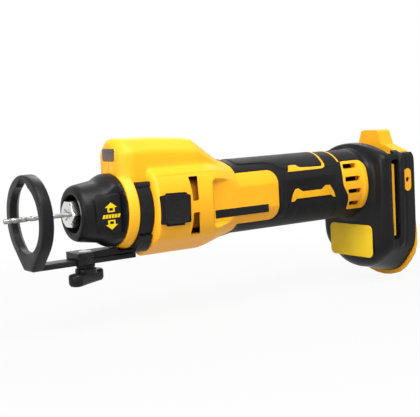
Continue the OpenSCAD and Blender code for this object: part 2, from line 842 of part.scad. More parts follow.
// Badge in the pocket, with two tabs on top and a foot at each end
badge_shares = [[0, 0], [0.04, 0.55], [0.1, 0.95], [0.16, 1], [0.26, 0.72], [0.7, 0.72], [0.78, 1], [0.88, 1],
    [0.96, 0.5], [1, 0], [0.96, 0], [0.9, 0.2], [0.12, 0.2], [0.06, 0]];
module badge() {
    x0 = x_badge;
    y_prism(-pocket_y - badge_t, -pocket_y - press,
        [for (i = [len(badge_shares) - 1:-1:0]) [x0 + badge_shares[i][0] * badge_len, (badge_shares[i][1] - badge_sink) * badge_h]]);
}
badge_sink = 0.72;
module badge_left() {
    color(plastic_yellow) badge();
}
module badge_right() {
    color(plastic_yellow) side(true) badge();
}

// Lamp in the tower's front
module lamp_lens() {
    color([0.8, 0.78, 0.85]) x_prism(x_nose, x_nose + lens_t, rounded(-lamp_w / 2, lamp_w / 2,
        lamp_z - lamp_h / 2, lamp_z + lamp_h / 2, lamp_round));
}
chip = 2;
chip_share = 0.3;
module lamp_board() {
    x0 = x_nose + lens_t + fit;
    color(board_green) union() {
        block(x0 + chip / 2, x0 + chip / 2 + board_t, -lamp_w / 2, lamp_w / 2, lamp_z - lamp_h / 2, lamp_z + lamp_h / 2);
        for (s = [-1, 0, 1]) block(x0, x0 + chip / 2 + step, s * lamp_w * chip_share - chip / 2,
            s * lamp_w * chip_share + chip / 2, lamp_z - chip / 2, lamp_z + chip / 2);
    }
}

// Carrier of the front bearing, with the snout that the collar turns on
shaft_r = shaft_d / 2;
shaft_step = 1;
seal_t = 2;
module bearing_carrier() {
    color(steel_grey) difference() {
        turned([[snout_hole_r, x_snout], [snout_r, x_snout], [snout_r, x_clip_ring],
            [snout_r - ring_depth, x_clip_ring], [snout_r - ring_depth, x_clip_ring + ring_width],
            [snout_r, x_clip_ring + ring_width], [snout_r, x_carrier], [carrier_r, x_carrier],
            [carrier_r, x_carrier_rear], [front_bearing_d / 2 + press, x_carrier_rear],
            [front_bearing_d / 2 + press, x_front_bearing], [shaft_r + shaft_step + slide, x_front_bearing],
            [shaft_r + shaft_step + slide, x_front_bearing - front_bearing_lip],
            [snout_hole_r, x_front_bearing - front_bearing_lip]]);
    }
}
module dust_seal() {
    color([0.35, 0.33, 0.3]) turned([[shaft_r + shaft_step + run, x_carrier - seal_t], [snout_hole_r - press, x_carrier - seal_t],
        [snout_hole_r - press, x_carrier - press], [shaft_r + shaft_step + run, x_carrier - press]]);
}
ring_over = 0.8;
module collar_ring() {
    x0 = x_clip_ring + press;
    x1 = x_clip_ring + ring_width - press;
    color(steel_grey) turned([[snout_r - ring_depth + press, x0], [snout_r + ring_over, x0],
        [snout_r + ring_over, x1], [snout_r - ring_depth + press, x1]]);
}
// Bearings: an outer ring with its shields, and an inner race on the shaft
race_share = 0.36;
shield_gap = 0.1;
module bearing_outer(x, w, ro, ri) {
    mid = mix(ri, ro, race_share);
    turned([[mid + shield_gap, x], [ro, x], [ro, x + w], [mid + shield_gap, x + w]]);
}
module bearing_inner(x, w, ro, ri) {
    mid = mix(ri, ro, race_share);
    turned([[ri, x], [mid, x], [mid, x + w], [ri, x + w]]);
}
rear_shaft_share = 0.75;
rear_shaft_r = shaft_r * rear_shaft_share;
module front_bearing() {
    color(steel_grey) bearing_outer(x_front_bearing + press, front_bearing_w - press, front_bearing_d / 2, shaft_r);
}
module front_race() {
    color(steel_grey) bearing_inner(x_front_bearing + press, front_bearing_w - press, front_bearing_d / 2, shaft_r + press);
}
module rear_bearing() {
    color(steel_grey) bearing_outer(x_rear_bearing, rear_bearing_w, rear_bearing_d / 2, rear_shaft_r);
}
module rear_race() {
    color(steel_grey) bearing_inner(x_rear_bearing, rear_bearing_w, rear_bearing_d / 2, rear_shaft_r + press);
}

// Spindle with its collet seat
nose_r = 6.4;
collet_r = 3.9;
collet_head_r = 5.2;
collet_head = 2.6;
nut_face = 1.4;
collet_len = 17;
nose_gap = 0.4;
x_collet = x_nut + nut_face;
x_nose_front = x_collet + collet_head + nose_gap;
x_nose_rear = x_carrier - seal_t - nose_gap;
module spindle() {
    color(steel_grey) turned([[collet_r + press, x_nose_front], [nose_r, x_nose_front], [nose_r, x_nose_rear],
        [shaft_r + shaft_step, x_nose_rear], [shaft_r + shaft_step, x_front_bearing - nose_gap / 2], [shaft_r, x_front_bearing - nose_gap / 2],
        [shaft_r, x_fan_rear + nose_gap], [rear_shaft_r, x_fan_rear + nose_gap], [rear_shaft_r, x_spindle_rear - fit],
        [0, x_spindle_rear - fit], [0, x_collet + collet_len + nose_gap], [collet_r + press, x_collet + collet_len + nose_gap]]);
}
module rotor() {
    color(steel_grey) turned([[shaft_r + press, x_stator], [rotor_r, x_stator],
        [rotor_r, x_stator_rear], [shaft_r + press, x_stator_rear]]);
}
fan_clear = 0.8;
fan_r = stator_r - fan_clear;
hub_r = 8;
fan_disc = 1.4;
blade_w = 1.2;
module fan() {
    color([0.2, 0.2, 0.22]) difference() {
        union() {
            x_bar(x_fan, x_fan_rear, hub_r);
            x_bar(x_fan_rear - fan_disc, x_fan_rear, fan_r);
            for (i = [0:blades - 1]) rotate([360 * i / blades, 0, 0])
                block(x_fan, x_fan_rear - fan_disc / 2, -blade_w / 2, blade_w / 2, hub_r - step, fan_r - blade_w);
        }
        x_bar(x_fan - cut, x_fan_rear + cut, shaft_r + press);
    }
}
module stator_core() {
    color([0.5, 0.5, 0.53]) difference() {
        x_bar(x_stator, x_stator_rear, stator_r);
        for (i = [0:teeth - 1]) rotate([360 * i / teeth, 0, 0]) slot_gap_between();
        x_bar(x_stator - cut, x_stator_rear + cut, rotor_r + air_gap);
    }
}
// Room between two teeth
module slot_gap_between() {
    r0 = rotor_r;
    r1 = stator_r - yoke;
    half = 180 / teeth;
    inset = tooth_w / 2;
    x_prism(x_stator - cut, x_stator_rear + cut, [for (p = [[r0, 1], [r1, 1], [r1, -1], [r0, -1]])
        let (t = asin(inset / p[0])) [p[0] * sin((half - t) * p[1]), p[0] * cos((half - t) * p[1])]]);
}
coil_gap = 0.1;
coil_share = 0.0987;
coil_t = stator_r * coil_share;
coil_in_share = 0.045;
coil_in = stator_r * coil_in_share;
coil_out_share = 0.0314;
coil_out = stator_r * coil_out_share;
module stator_coils() {
    r0 = rotor_r + air_gap + coil_in;
    r1 = (stator_r - yoke) * cos(180 / teeth) - coil_out;
    color(copper) for (i = [0:teeth - 1]) rotate([360 * (i + 0.5) / teeth, 0, 0]) difference() {
        block(x_stator - coil_end, x_stator_rear + coil_end, -tooth_w / 2 - coil_t, tooth_w / 2 + coil_t, r0, r1);
        block(x_stator - coil_gap, x_stator_rear + coil_gap, -tooth_w / 2 - coil_gap, tooth_w / 2 + coil_gap, 0, stator_r);
    }
}
module sensor_board() {
    color(board_green) turned([[rotor_r, x_sensor], [stator_r - yoke, x_sensor],
        [stator_r - yoke, x_sensor + board_t], [rotor_r, x_sensor + board_t]]);
}

// Collet, nut and bit
bit_r = bit_d / 2;
slit = 0.6;
slit_len = 11;
module collet() {
    color(steel_grey) difference() {
        turned([[bit_r + press, x_collet + press], [collet_head_r - nose_gap, x_collet + press], [collet_head_r, x_collet + collet_head / 2],
            [collet_r, x_collet + collet_head], [collet_r, x_collet + collet_len], [bit_r + press, x_collet + collet_len]]);
        block(x_collet - cut, x_collet + slit_len, -slit / 2, slit / 2, -nut_across, nut_across);
        block(x_collet - cut, x_collet + slit_len, -nut_across, nut_across, -slit / 2, slit / 2);
    }
}
nut_bevel = 0.8;
module collet_nut() {
    hex_r = nut_across / 2 / cos(30);
    color(steel_grey) difference() {
        intersection() {
            translate([x_nut, 0, 0]) rotate([0, 90, 0]) rotate([0, 0, 30]) cylinder(h = nut_len, r = hex_r, $fn = 6);
            turned([[0, x_nut], [nut_across / 2, x_nut], [hex_r + nut_bevel, x_nut + 2 * nut_bevel],
                [hex_r + nut_bevel, x_nut + nut_len], [0, x_nut + nut_len]]);
        }
        x_bar(x_nut - cut, x_nut + nut_len, bit_r + slit);
        x_bar(x_collet, x_nut + nut_len, collet_head_r + press);
        x_bar(x_nose_front - nose_gap / 2, x_nut + nut_len + cut, nose_r + press);
    }
}
bit_pitch = 13;
flute_steps = 30;
flute_shares = [[0, 1], [28, 0.99], [50, 0.72], [90, 0.5], [130, 0.62], [152, 0.97]];
module cutting_bit() {
    flute = bit_reach * flute_share;
    x_end = x_tip + flute;
    points = [for (h = [0, 180]) for (p = flute_shares) [bit_r * p[1] * cos(p[0] + h), bit_r * p[1] * sin(p[0] + h)]];
    color(steel_grey) union() {
        x_bar(x_end - step, x_collet + collet_len - slit, bit_r);
        translate([x_tip, 0, 0]) rotate([0, 90, 0])
            linear_extrude(height = flute, twist = -360 * flute / bit_pitch, slices = flute_steps, $fn = 12) polygon(points);
    }
}

// Collar that locks the spindle and frees the bit
collar_hole_r = 12.2;
collar_front_wall = 5;
collar_edge = 3;
collar_flare_share = 0.62;
collar_mid_share = 0.6;
scoop_front_share = 0.27;
scoop_rear = 1.6;
pad_inset = 1.4;
pad_h = 23;
pad_round = 4;
module lock_collar() {
    rf = collar_front_d / 2;
    rr = collar_rear_d / 2;
    bore = snout_r + run;
    room = snout_r + ring_over + slide;
    x_shelf = x_clip_ring + ring_width + fit;
    x_mid = mix(x_collar, x_collar_rear, collar_flare_share);
    scoop0 = mix(x_collar, x_collar_rear, scoop_front_share);
    scoop1 = x_collar_rear - scoop_rear;
    color(rubber_black) difference() {
        union() {
            difference() {
                turned([[collar_hole_r, x_collar], [rf - collar_edge, x_collar], [rf - collar_edge * (1 - sqrt(1 / 2)), x_collar + collar_edge * (1 - sqrt(1 / 2))],
                    [rf, x_collar + collar_edge], [mix(rf, rr, collar_mid_share), x_mid], [rr, x_collar_rear - scoop_rear],
                    [rr, x_collar_rear], [bore, x_collar_rear], [bore, x_shelf], [room, x_shelf],
                    [room, x_collar + collar_front_wall], [collar_hole_r, x_collar + collar_front_wall]]);
                for (s = [0, 1]) side(s == 1) block(scoop0, scoop1, -collar_rear_d, -collar_flats / 2, -collar_rear_d, collar_rear_d);
            }
            for (s = [0, 1]) side(s == 1) y_prism(-collar_flats / 2 - collar_pad, -collar_flats / 2 + step,
                rounded(scoop0 + pad_inset, scoop1 - pad_inset, -pad_h / 2, pad_h / 2, pad_round));
        }
    }
}

// Switch buttons in their frames
function button_points(gap) = rounded(x_button - button_len / 2 - gap, x_button + button_len / 2 + gap,
    -button_h / 2 - gap, button_h / 2 + gap, button_round - min(0, gap) * corner_share);
corner_share = -0.5;
module button_frame() {
    difference() {
        y_prism(-barrel_w / 2 - frame_proud, -frame_y, button_points(0));
        y_prism(-barrel_w, 0, button_points(-button_rim));
    }
}
module button() {
    y_prism(-barrel_w / 2 - button_proud, -flange_y - flange_t + step, button_points(-button_rim - slide / 2));
    y_prism(-flange_y - flange_t, -flange_y, button_points(-button_rim + flange_wide));
}
module switch() {
    block(x_button - switch_w / 2, x_button + switch_w / 2, -switch_y - switch_t, -switch_y, -switch_w / 2, switch_w / 2);
    translate([x_button, 0, 0]) y_bar(-switch_y - switch_t - dome_t, -switch_y - switch_t + step, dome_d / 2);
}
module button_frame_left() {
    color(rubber_black) button_frame();
}
module button_frame_right() {
    color(rubber_black) side(true) button_frame();
}
module button_left() {
    color(rubber_black) union() {
        button();
    }
}
module button_right() {
    color(rubber_black) side(true) union() {
        button();
    }
}
module switch_left() {
    color(board_green) union() {
        switch();
    }
}
module switch_right() {
    color(board_green) side(true) union() {
        switch();
    }
}

// Electronics
module control_module() {
    w = hollow_r * module_share;
    h = hollow_r * module_high_share;
    color([0.55, 0.57, 0.6]) difference() {
        block(x_module, x_module_rear, -w, w, -h, h);
        block(x_module + tray_wall, x_module_rear - tray_wall, -w + tray_wall, w - tray_wall, h - tray_deep, h + cut);
    }
}
tray_wall = 2;
tray_deep = 4;
// Wire through a row of points, each farther back than the one before
lead_angles = [for (a = [0:45:315]) a];
module wire(points) {
    loft([for (p = points) [for (a = lead_angles) p + place(0, lead_r, a)]], false);
}
lead_gap = 0.25;
lead_pitch = 4;
lead_low_share = 0.8;
lead_bend = 4;
lead_drop_share = 0.4;
module phase_leads() {
    z0 = -stator_r + yoke / 2;
    z1 = lead_z;
    z2 = -hollow_r * module_high_share / 2;
    color([0.6, 0.1, 0.1]) for (s = [-1, 0, 1]) union() {
        wire([[x_stator_rear + lead_gap, s * lead_pitch, z0], [x_stator_rear + lead_bend, s * lead_pitch, z1],
            [x_spindle_rear + lead_bend, s * lead_pitch, z1], [x_module - lead_gap, s * lead_pitch, z2]]);
    }
}
module battery_leads() {
    color([0.1, 0.1, 0.1]) for (s = [-1, 1]) union() {
        wire([[x_module_rear + lead_gap, s * lead_pitch, 0], [x_throat, s * lead_pitch, -lead_bend],
            [x_foot + foot_wall + lead_gap, s * lead_pitch, -lead_bend]]);
    }
}
module blade_slots(gap) {
    for (i = [0:blade_rows - 1]) {
        y = (i - (blade_rows - 1) / 2) * blade_pitch;
        block(x_bay + block_depth - blade_in - gap, x_bay + block_depth + blade_out, y - blade_t / 2 - gap, y + blade_t / 2 + gap,
            blade_bottom - gap, blade_top + gap);
    }
}
module terminal_block() {
    x0 = x_foot + foot_wall + slide;
    color([0.15, 0.15, 0.16]) difference() {
        union() {
            block(x_bay + press, x_bay + block_depth, -block_w / 2, block_w / 2, block_bottom, block_top);
            block(x0, x_bay + step, -port_y, port_y, port_bottom, port_top);
            block(x0, x_bay - chamber_t - press, -port_y - port_lip, port_y + port_lip, port_bottom - port_lip, port_top + port_lip);
        }
        blade_slots(press);
    }
}
module terminal_blades() {
    color(copper) blade_slots(0);
}

// Cap that closes the battery rails
web_t = 2.7;
web_top = 22;
web_low_share = 0.6;
rail_top = 13.5;
tab_depth = 13;
tab_round = 3;
tab_flare = 3;
shelf_share = 0.42;
shelf_edge = 2.5;
cap_low = 128;
cap_full = 152;
plate_angles = [for (a = [0:6:354]) a];
cap_side_share = 0.92;
function cap_r(a) = let (b = a > 180 ? 360 - a : a)
    rear_r(b) * mix(cap_side_share, 1 + cap_drop / foot_drop, ease(ramp(b, cap_low, cap_full)));
module terminal_cap() {
    y1 = rail_y - slide;
    x0 = x_bay + slide;
    low = -foot_drop * web_low_share;
    top = foot_top + tab_h;
    half = tab_w / 2;
    shelf = foot_w / 2 * shelf_share;
    color(plastic_yellow) union() {
        x_prism(-cap_t, 0, [for (a = plate_angles) [-cap_r(a) * sin(a), cap_r(a) * cos(a)]]);
        for (s = [0, 1]) side(s == 1) {
            block(x0, -cap_t + step, -y1, -y1 + web_t, low, web_top);
            block(x0, x_rail - slide, -bay_y + slide, -y1 + web_t, low, rail_top);
        }
        x_prism(-tab_depth, -cap_t + step, [[-y1, web_top - web_t], [y1, web_top - web_t], [y1, web_top],
            [shelf, foot_top - shelf_edge], [-shelf, foot_top - shelf_edge], [-y1, web_top]]);
        x_prism(-tab_depth, 0, concat([[half + tab_flare, foot_top - shelf_edge - step]],
            [for (t = [0:30:90]) [half - tab_round + tab_round * cos(t), top - tab_round + tab_round * sin(t)]],
            [for (t = [90:30:180]) [-half + tab_round + tab_round * cos(t), top - tab_round + tab_round * sin(t)]],
            [[-half - tab_flare, foot_top - shelf_edge - step]]));
    }
}

// Depth guide
function wedge(a, r) = [[0, 0], [-r * tan(a), r], [r * tan(a), r]];
module guide_clip() {
    x0 = x_neck + band_gap;
    x1 = x_shoulder - band_gap;
    end_y = band_r * sin(clip_open);
    end_z = band_r * cos(clip_open);
    color(rubber_black) difference() {
        union() {
            difference() {
                union() {
                    difference() {
                        x_bar(x0, x1, band_r);
                        x_prism(x0 - cut, x1 + cut, wedge(clip_open, barrel_w));
                    }
                    for (s = [0, 1]) side(s == 1)
                        block(x0, x1, -end_y - lip_out, -end_y + band_t / 2, end_z - lip_h, end_z + lip_rise);
                    block(x_sleeve, x1, -bar_w / 2, bar_w / 2, arm_bottom, arm_top);
                }
                x_bar(x0 - cut, x1 + cut, clip_r);
            }
            block(x_sleeve, x_nose - slide, -bar_w / 2, bar_w / 2, arm_top - step, pad_top);
            block(x_sleeve, x_sleeve + sleeve_len, -bar_w / 2 - slide - sleeve_wall, bar_w / 2 + slide + sleeve_wall, arm_bottom, pad_top);
            for (s = [0, 1]) side(s == 1) block(x_sleeve, x_sleeve + sleeve_len, -bar_w / 2 - slide - sleeve_wall, -bar_w / 2 - slide,
                bar_bottom + slide, pad_top);
        }
        translate([x_screw, 0, 0]) {
            z_bar(arm_bottom - cut, pad_top + cut, screw_d / 2 + slide);
            translate([0, 0, pad_top - hex_h]) cylinder(h = hex_h + cut, r = hex_across / 2 / cos(30) + fit, $fn = 6);
        }
    }
}
module clamp_nut() {
    color(steel_grey) translate([x_screw, 0, 0]) difference() {
        translate([0, 0, pad_top - hex_h + press]) cylinder(h = hex_h - press, r = hex_across / 2 / cos(30), $fn = 6);
        z_bar(pad_top - hex_h - cut, pad_top + cut, screw_d / 2 + run);
    }
}
module clamp_screw() {
    color(steel_grey) translate([x_screw, 0, 0]) z_bar(knob_z - knob_collar_h, pad_top - press, screw_d / 2);
}
module guide_ring() {
    ro = ring_d / 2;
    ri = ring_hole_d / 2;
    color(rubber_black) difference() {
        union() {
            turned([[ri, x_ring + ring_bevel], [ri + ring_bevel, x_ring], [ro - ring_bevel, x_ring], [ro, x_ring + ring_bevel],
                [ro, x_ring_rear - ring_bevel], [ro - ring_bevel, x_ring_rear], [ri + ring_bevel, x_ring_rear], [ri, x_ring_rear - ring_bevel]]);
            difference() {
                y_prism(-bar_w / 2, bar_w / 2, [[x_ring, -ri], [x_ring, bar_bottom + toe], [x_ring + toe, bar_bottom],
                    [x_ring_rear, bar_bottom], [x_ring_rear, -ri]]);
                x_bar(x_ring - cut, x_ring_rear + cut, ri + ring_bevel);
            }
            block(x_ring_rear - step, x_bar_rear, -bar_w / 2, bar_w / 2, bar_bottom, bar_top);
        }
        x_prism(x_ring - cut, x_ring_rear + cut, [[-notch_low, 0], [notch_low, 0], [notch_low, ri - notch_rim],
            [notch_high, ro - notch_rim], [-notch_high, ro - notch_rim], [-notch_low, ri - notch_rim]]);
        slot_half = screw_d / 2 + slot_gap;
        block(x_screw - guide_in - slot_half, x_screw + guide_out + slot_half, -slot_half, slot_half, bar_bottom - cut, bar_top + cut);
    }
}
module guide_knob() {
    z0 = knob_z - knob_collar_h;
    lobe = wing_w / 2;
    reach = wing_len / 2 - lobe;
    color(rubber_black) translate([x_screw, 0, 0]) difference() {
        union() {
            z_bar(z0 - step, knob_z, knob_collar_r);
            rotate([0, 0, wing_turn]) translate([0, 0, z0 - wing_h]) linear_extrude(height = wing_h)
                polygon([for (s = [0, 180]) for (t = [-75:25:75]) let (c = cos(s)) [c * reach + lobe * cos(t + s), lobe * sin(t + s)]]);
        }
        z_bar(z0 - cut, knob_z + cut, screw_d / 2 + press);
    }
}

housing_left();
housing_right();
grip_left();
grip_right();
foot_left();
foot_right();
housing_screws();
lamp_lens();
lamp_board();
bearing_carrier();
dust_seal();
collar_ring();
front_bearing();
front_race();
rear_bearing();
rear_race();
spindle();
rotor();
fan();
stator_core();
stator_coils();
sensor_board();
collet();
collet_nut();
cutting_bit();
lock_collar();
button_frame_left();
button_frame_right();
button_left();
button_right();
switch_left();
switch_right();
control_module();
phase_leads();
battery_leads();
terminal_block();
terminal_blades();
terminal_cap();
anchor_left();
anchor_right();
rating_plate();
badge_left();
badge_right();
guide_clip();
guide_ring();
clamp_nut();
clamp_screw();
guide_knob();
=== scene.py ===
"""Looks of a cordless cut-out tool for wallboard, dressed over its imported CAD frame.

Lengths in the classes are millimetres in the CAD model's own frame: X runs along the spindle with the nose
towards -X, Z is up and the photographed side faces -Y. They turn into metres where a mesh is made.
"""

import logging
import math
from dataclasses import dataclass, field
from enum import Enum
from typing import Any, Callable, ClassVar, Iterable, Sequence, Union

import bmesh
import bpy
import numpy as np
from mathutils import Matrix, Vector


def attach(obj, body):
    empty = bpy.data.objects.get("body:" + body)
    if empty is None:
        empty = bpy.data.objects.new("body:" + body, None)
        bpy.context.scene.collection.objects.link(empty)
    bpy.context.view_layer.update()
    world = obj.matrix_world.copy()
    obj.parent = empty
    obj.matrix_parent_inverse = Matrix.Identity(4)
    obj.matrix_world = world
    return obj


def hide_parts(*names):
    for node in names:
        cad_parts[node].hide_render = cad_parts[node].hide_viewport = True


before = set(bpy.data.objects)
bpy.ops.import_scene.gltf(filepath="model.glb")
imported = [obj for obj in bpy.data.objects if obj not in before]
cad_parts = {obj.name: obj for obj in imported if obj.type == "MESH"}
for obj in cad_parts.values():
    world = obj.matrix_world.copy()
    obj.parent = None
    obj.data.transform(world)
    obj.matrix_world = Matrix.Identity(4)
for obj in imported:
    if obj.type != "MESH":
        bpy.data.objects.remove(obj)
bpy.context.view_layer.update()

Array = np.ndarray
Colour = tuple[float, float, float, float]
Pair = tuple[float, float]
Triple = tuple[float, float, float]
Span = tuple[float, float, float, float]
Outline = tuple[Pair, ...]
LOG = logging.getLogger("cut_out_tool")
MM = 0.001
TINY = 1e-6
TONE_RANGE = (0.3, 0.7)  # noise values between which a finish drifts from its light to its deep tone
WHITE: Colour = (1.0, 1.0, 1.0, 1.0)
SIDE_CUT = (-40.0, -12.0)  # reach of a cutter through a side wall
WELL_TURN = np.linspace(0, 2 * np.pi, 28, endpoint=False)


def srgb(code: str) -> Colour:
    """Linear colour of a screen colour.

    Args:
        code: Six hexadecimal digits.

    Returns:
        Red, green, blue and alpha, as a shader takes them.
    """
    parts = [int(code[i:i + 2], 16) / 255 for i in (0, 2, 4)]
    red, green, blue = (c / 12.92 if c <= 0.04045 else ((c + 0.055) / 1.055) ** 2.4 for c in parts)
    return (red, green, blue, 1.0)


def tones(*codes: str) -> tuple[Colour, ...]:
    """Linear colours of several screen colours."""
    return tuple(srgb(code) for code in codes)


def mix(a: Any, b: Any, t: Any) -> Any:
    """Value a share t of the way from a to b."""
    return a + (b - a) * t


def ramp(x: Any, x0: float, x1: float) -> Any:
    """Share of the way that x lies from x0 to x1, held between 0 and 1."""
    return np.clip((x - x0) / (x1 - x0), 0.0, 1.0)


def ease(t: Any) -> Any:
    """Smooth start and stop of a share."""
    return t * t * (3 - 2 * t)


def rise(t: Any) -> Any:
    """Quarter round: steep at 0 and level at 1."""
    return np.sqrt(np.maximum(0.0, 1 - (1 - t) ** 2))


def joined(power: float, *reaches: Any) -> Any:
    """Distances joined softly: the greatest for a power over 0, the least for one under 0."""
    return sum(reach ** power for reach in reaches) ** (1 / power)


def bump_between(x: Any, x0: float, x1: float, soft: float) -> Any:
    """One between x0 and x1 and zero outside, with soft shoulders.

    Args:
        x: Places to judge.
        x0: Start of the stretch.
        x1: End of the stretch.
        soft: Width of each shoulder, outside the stretch.

    Returns:
        Share at each place.
    """
    return ease(ramp(x, x0 - soft, x0)) * (1 - ease(ramp(x, x1, x1 + soft)))


def circle(r: float, turn: Array) -> Array:
    """Points round the origin at angles, two numbers each."""
    return np.stack([r * np.cos(turn), r * np.sin(turn)], -1)


def rounded(u0: float, u1: float, v0: float, v1: float, r: float, steps: int = 8) -> Array:
    """Outline of a rectangle with round corners, counter-clockwise.

    Args:
        u0: Low side.
        u1: High side.
        v0: Low end.
        v1: High end.
        r: Radius of the corners.
        steps: Pieces in each corner.

    Returns:
        Points of the outline, two numbers each.
    """
    turn = np.radians(np.linspace(0, 90, steps + 1))
    corners = ((u1 - r, v1 - r), (u0 + r, v1 - r), (u0 + r, v0 + r), (u1 - r, v0 + r))
    return np.concatenate([np.array(middle) + circle(r, turn + number * math.pi / 2)
                           for number, middle in enumerate(corners)])


def denser(points: Array, gap: float) -> Array:
    """A closed outline with points added along its long sides.

    Args:
        points: Outline, two numbers each.
        gap: Longest side that is left.

    Returns:
        The fuller outline.
    """
    out: list[Array] = []
    for a, b in zip(points, np.roll(points, -1, axis=0)):
        count = max(1, int(math.ceil(float(np.linalg.norm(b - a)) / gap)))
        out.extend(mix(a, b, i / count) for i in range(count))
    return np.array(out)


def smoothed(corners: Outline, passes: int = 3, share: float = 0.25) -> Array:
    """A closed outline with its corners cut round.

    Args:
        corners: Corners, two numbers each.
        passes: How often each corner is cut.
        share: Share of a side that a cut takes.

    Returns:
        The rounder outline.
    """
    line = np.array(corners, float)
    for _ in range(passes):
        ahead = np.roll(line, -1, axis=0)
        line = np.stack([mix(line, ahead, share), mix(ahead, line, share)], 1).reshape(-1, 2)
    return line


def grown(outline: Array, by: float) -> Array:
    """A counter-clockwise outline moved outwards.

    Args:
        outline: Outline, two numbers each.
        by: Distance; one under 0 moves it inwards.

    Returns:
        The moved outline.
    """
    ahead = np.roll(outline, -1, axis=0) - np.roll(outline, 1, axis=0)
    outward = np.stack([ahead[:, 1], -ahead[:, 0]], -1) / np.linalg.norm(ahead, axis=1, keepdims=True)
    return outline + outward * by


def placed(name: str, data: Any) -> bpy.types.Object:
    """Makes an object and links it to the scene.

    Args:
        name: Name of the object.
        data: Its mesh, lamp or camera.

    Returns:
        The object.
    """
    made = bpy.data.objects.new(name, data)
    bpy.context.scene.collection.objects.link(made)
    return made


class Side(Enum):
    """Side of the tool that a piece sits on, with the sign of its Y."""

    LEFT = -1
    RIGHT = 1

    @property
    def tag(self) -> str:
        """Word that ends the names of this side's pieces."""
        return self.name.lower()


class Axis(Enum):
    """Axis that an outline is raised along."""

    X = 0
    Y = 1
    Z = 2


# ---------------------------------------------------------------- shader graphs


class Wire:
    """A socket of a shader graph that takes part in sums."""

    def __init__(self, graph: "Graph", socket: bpy.types.NodeSocket) -> None:
        """Keeps the graph and the socket."""
        self.graph = graph
        self.socket = socket

    def _math(self, operation: str, first: "Value", second: "Value") -> "Wire":
        """One step of arithmetic, as a Math node."""
        return self.graph.node("ShaderNodeMath", {"operation": operation}, {0: first, 1: second})

    def __add__(self, other: "Value") -> "Wire":
        """Sum."""
        return self._math("ADD", self, other)

    __radd__ = __add__

    def __mul__(self, other: "Value") -> "Wire":
        """Product."""
        return self._math("MULTIPLY", self, other)

    __rmul__ = __mul__

    def __sub__(self, other: "Value") -> "Wire":
        """Difference."""
        return self._math("SUBTRACT", self, other)

    def __rsub__(self, other: "Value") -> "Wire":
        """Difference from a number."""
        return self._math("SUBTRACT", other, self)

    def between(self, low: float, high: float) -> "Wire":
        """Smooth step of the value.

        Args:
            low: Value that gives 0.
            high: Value that gives 1.

        Returns:
            The share, held between 0 and 1.
        """
        return self.graph.node("ShaderNodeMapRange", {"interpolation_type": "SMOOTHSTEP"},
                               {0: self, 1: low, 2: high, 3: 0.0, 4: 1.0})


Value = Union[Wire, float, Sequence[float]]


class Graph:
    """Node tree of a material or of the world while it is wired."""

    def __init__(self, tree: bpy.types.NodeTree) -> None:
        """Empties the tree."""
        self.tree = tree
        tree.nodes.clear()

    def node(self, kind: str, settings: dict[str, Any], sockets: dict[Any, Value], output: Any = 0) -> Wire:
        """Adds a node.

        Args:
            kind: Type of the node.
            settings: Its properties, set first.
            sockets: Values or links of its inputs, by name or number.
            output: Name or number of the output to give back.

        Returns:
            That output; the first input of a node without outputs.
        """
        made = self.tree.nodes.new(kind)
        for key, value in settings.items():
            setattr(made, key, value)
        for key, value in sockets.items():
            if isinstance(value, Wire):
                self.tree.links.new(value.socket, made.inputs[key])
            else:
                made.inputs[key].default_value = value
        return Wire(self, made.outputs[output] if len(made.outputs) else made.inputs[0])

    def spot(self) -> Wire:
        """Place on the tool, in its own frame."""
        return self.node("ShaderNodeTexCoord", {}, {}, "Object")

    def looked_at(self) -> Wire:
        """Picks the rays that show the background: the camera's, and those off metal and through glass.

        Returns:
            One for such a ray, and 0 for any other.
        """
        camera = self.node("ShaderNodeLightPath", {}, {}, "Is Camera Ray")
        gloss, clear = (Wire(self, camera.socket.node.outputs[name])
                        for name in ("Is Glossy Ray", "Is Transmission Ray"))
        return camera + gloss + clear

    def grain(self, scale: float, detail: float = 2.0,
              stretch: Sequence[float] = (1.0, 1.0, 1.0)) -> Wire:
        """Noise in the tool's own frame.

        Args:
            scale: Spots to the metre.
            detail: Number of finer layers.
            stretch: Factor of the scale along each axis.

        Returns:
            Noise from 0 to 1.
        """
        spread = self.node("ShaderNodeMapping", {}, {"Vector": self.spot(), "Scale": tuple(stretch)})
        return self.node("ShaderNodeTexNoise", {}, {"Vector": spread, "Scale": scale, "Detail": detail})

    def edges(self, low: float, high: float) -> Wire:
        """Where the surface folds: ridges for values over a half, hollows for values under it."""
        return self.node("ShaderNodeNewGeometry", {}, {}, "Pointiness").between(low, high)

    def blend(self, share: Value, a: Value, b: Value) -> Wire:
        """Colour a share of the way from a to b."""
        return self.node("ShaderNodeMix", {"data_type": "RGBA"}, {0: share, 6: a, 7: b}, 2)

    def bumped(self, height: Value, depth: float, strength: float) -> Wire:
        """Normal of a fine relief.

        Args:
            height: Height from 0 to 1.
            depth: Depth of the relief in millimetres.
            strength: Share of it that shows.

        Returns:
            The normal.
        """
        return self.node("ShaderNodeBump", {}, {"Strength": strength, "Distance": depth * MM, "Height": height})

    def surface(self, sockets: dict[str, Value]) -> None:
        """Ends the graph in a shader with these sockets."""
        shader = self.node("ShaderNodeBsdfPrincipled", {}, sockets)
        self.node("ShaderNodeOutputMaterial", {}, {"Surface": shader})


# ---------------------------------------------------------------- finishes


@dataclass(frozen=True)
class Finish:
    """What a surface is made of, and the record's slot that it stands for."""

    name: str
    slot: str

    def material(self) -> bpy.types.Material:
        """Material of this finish, made on its first use.

        Returns:
            The material.
        """
        found = bpy.data.materials.get(self.name)
        if found is None:
            found = bpy.data.materials.new(self.name)
            found.use_nodes = True
            self.paint(Graph(found.node_tree))
        return found

    def paint(self, graph: Graph) -> None:
        """Wires the material; each kind of finish has its own way."""
        raise NotImplementedError


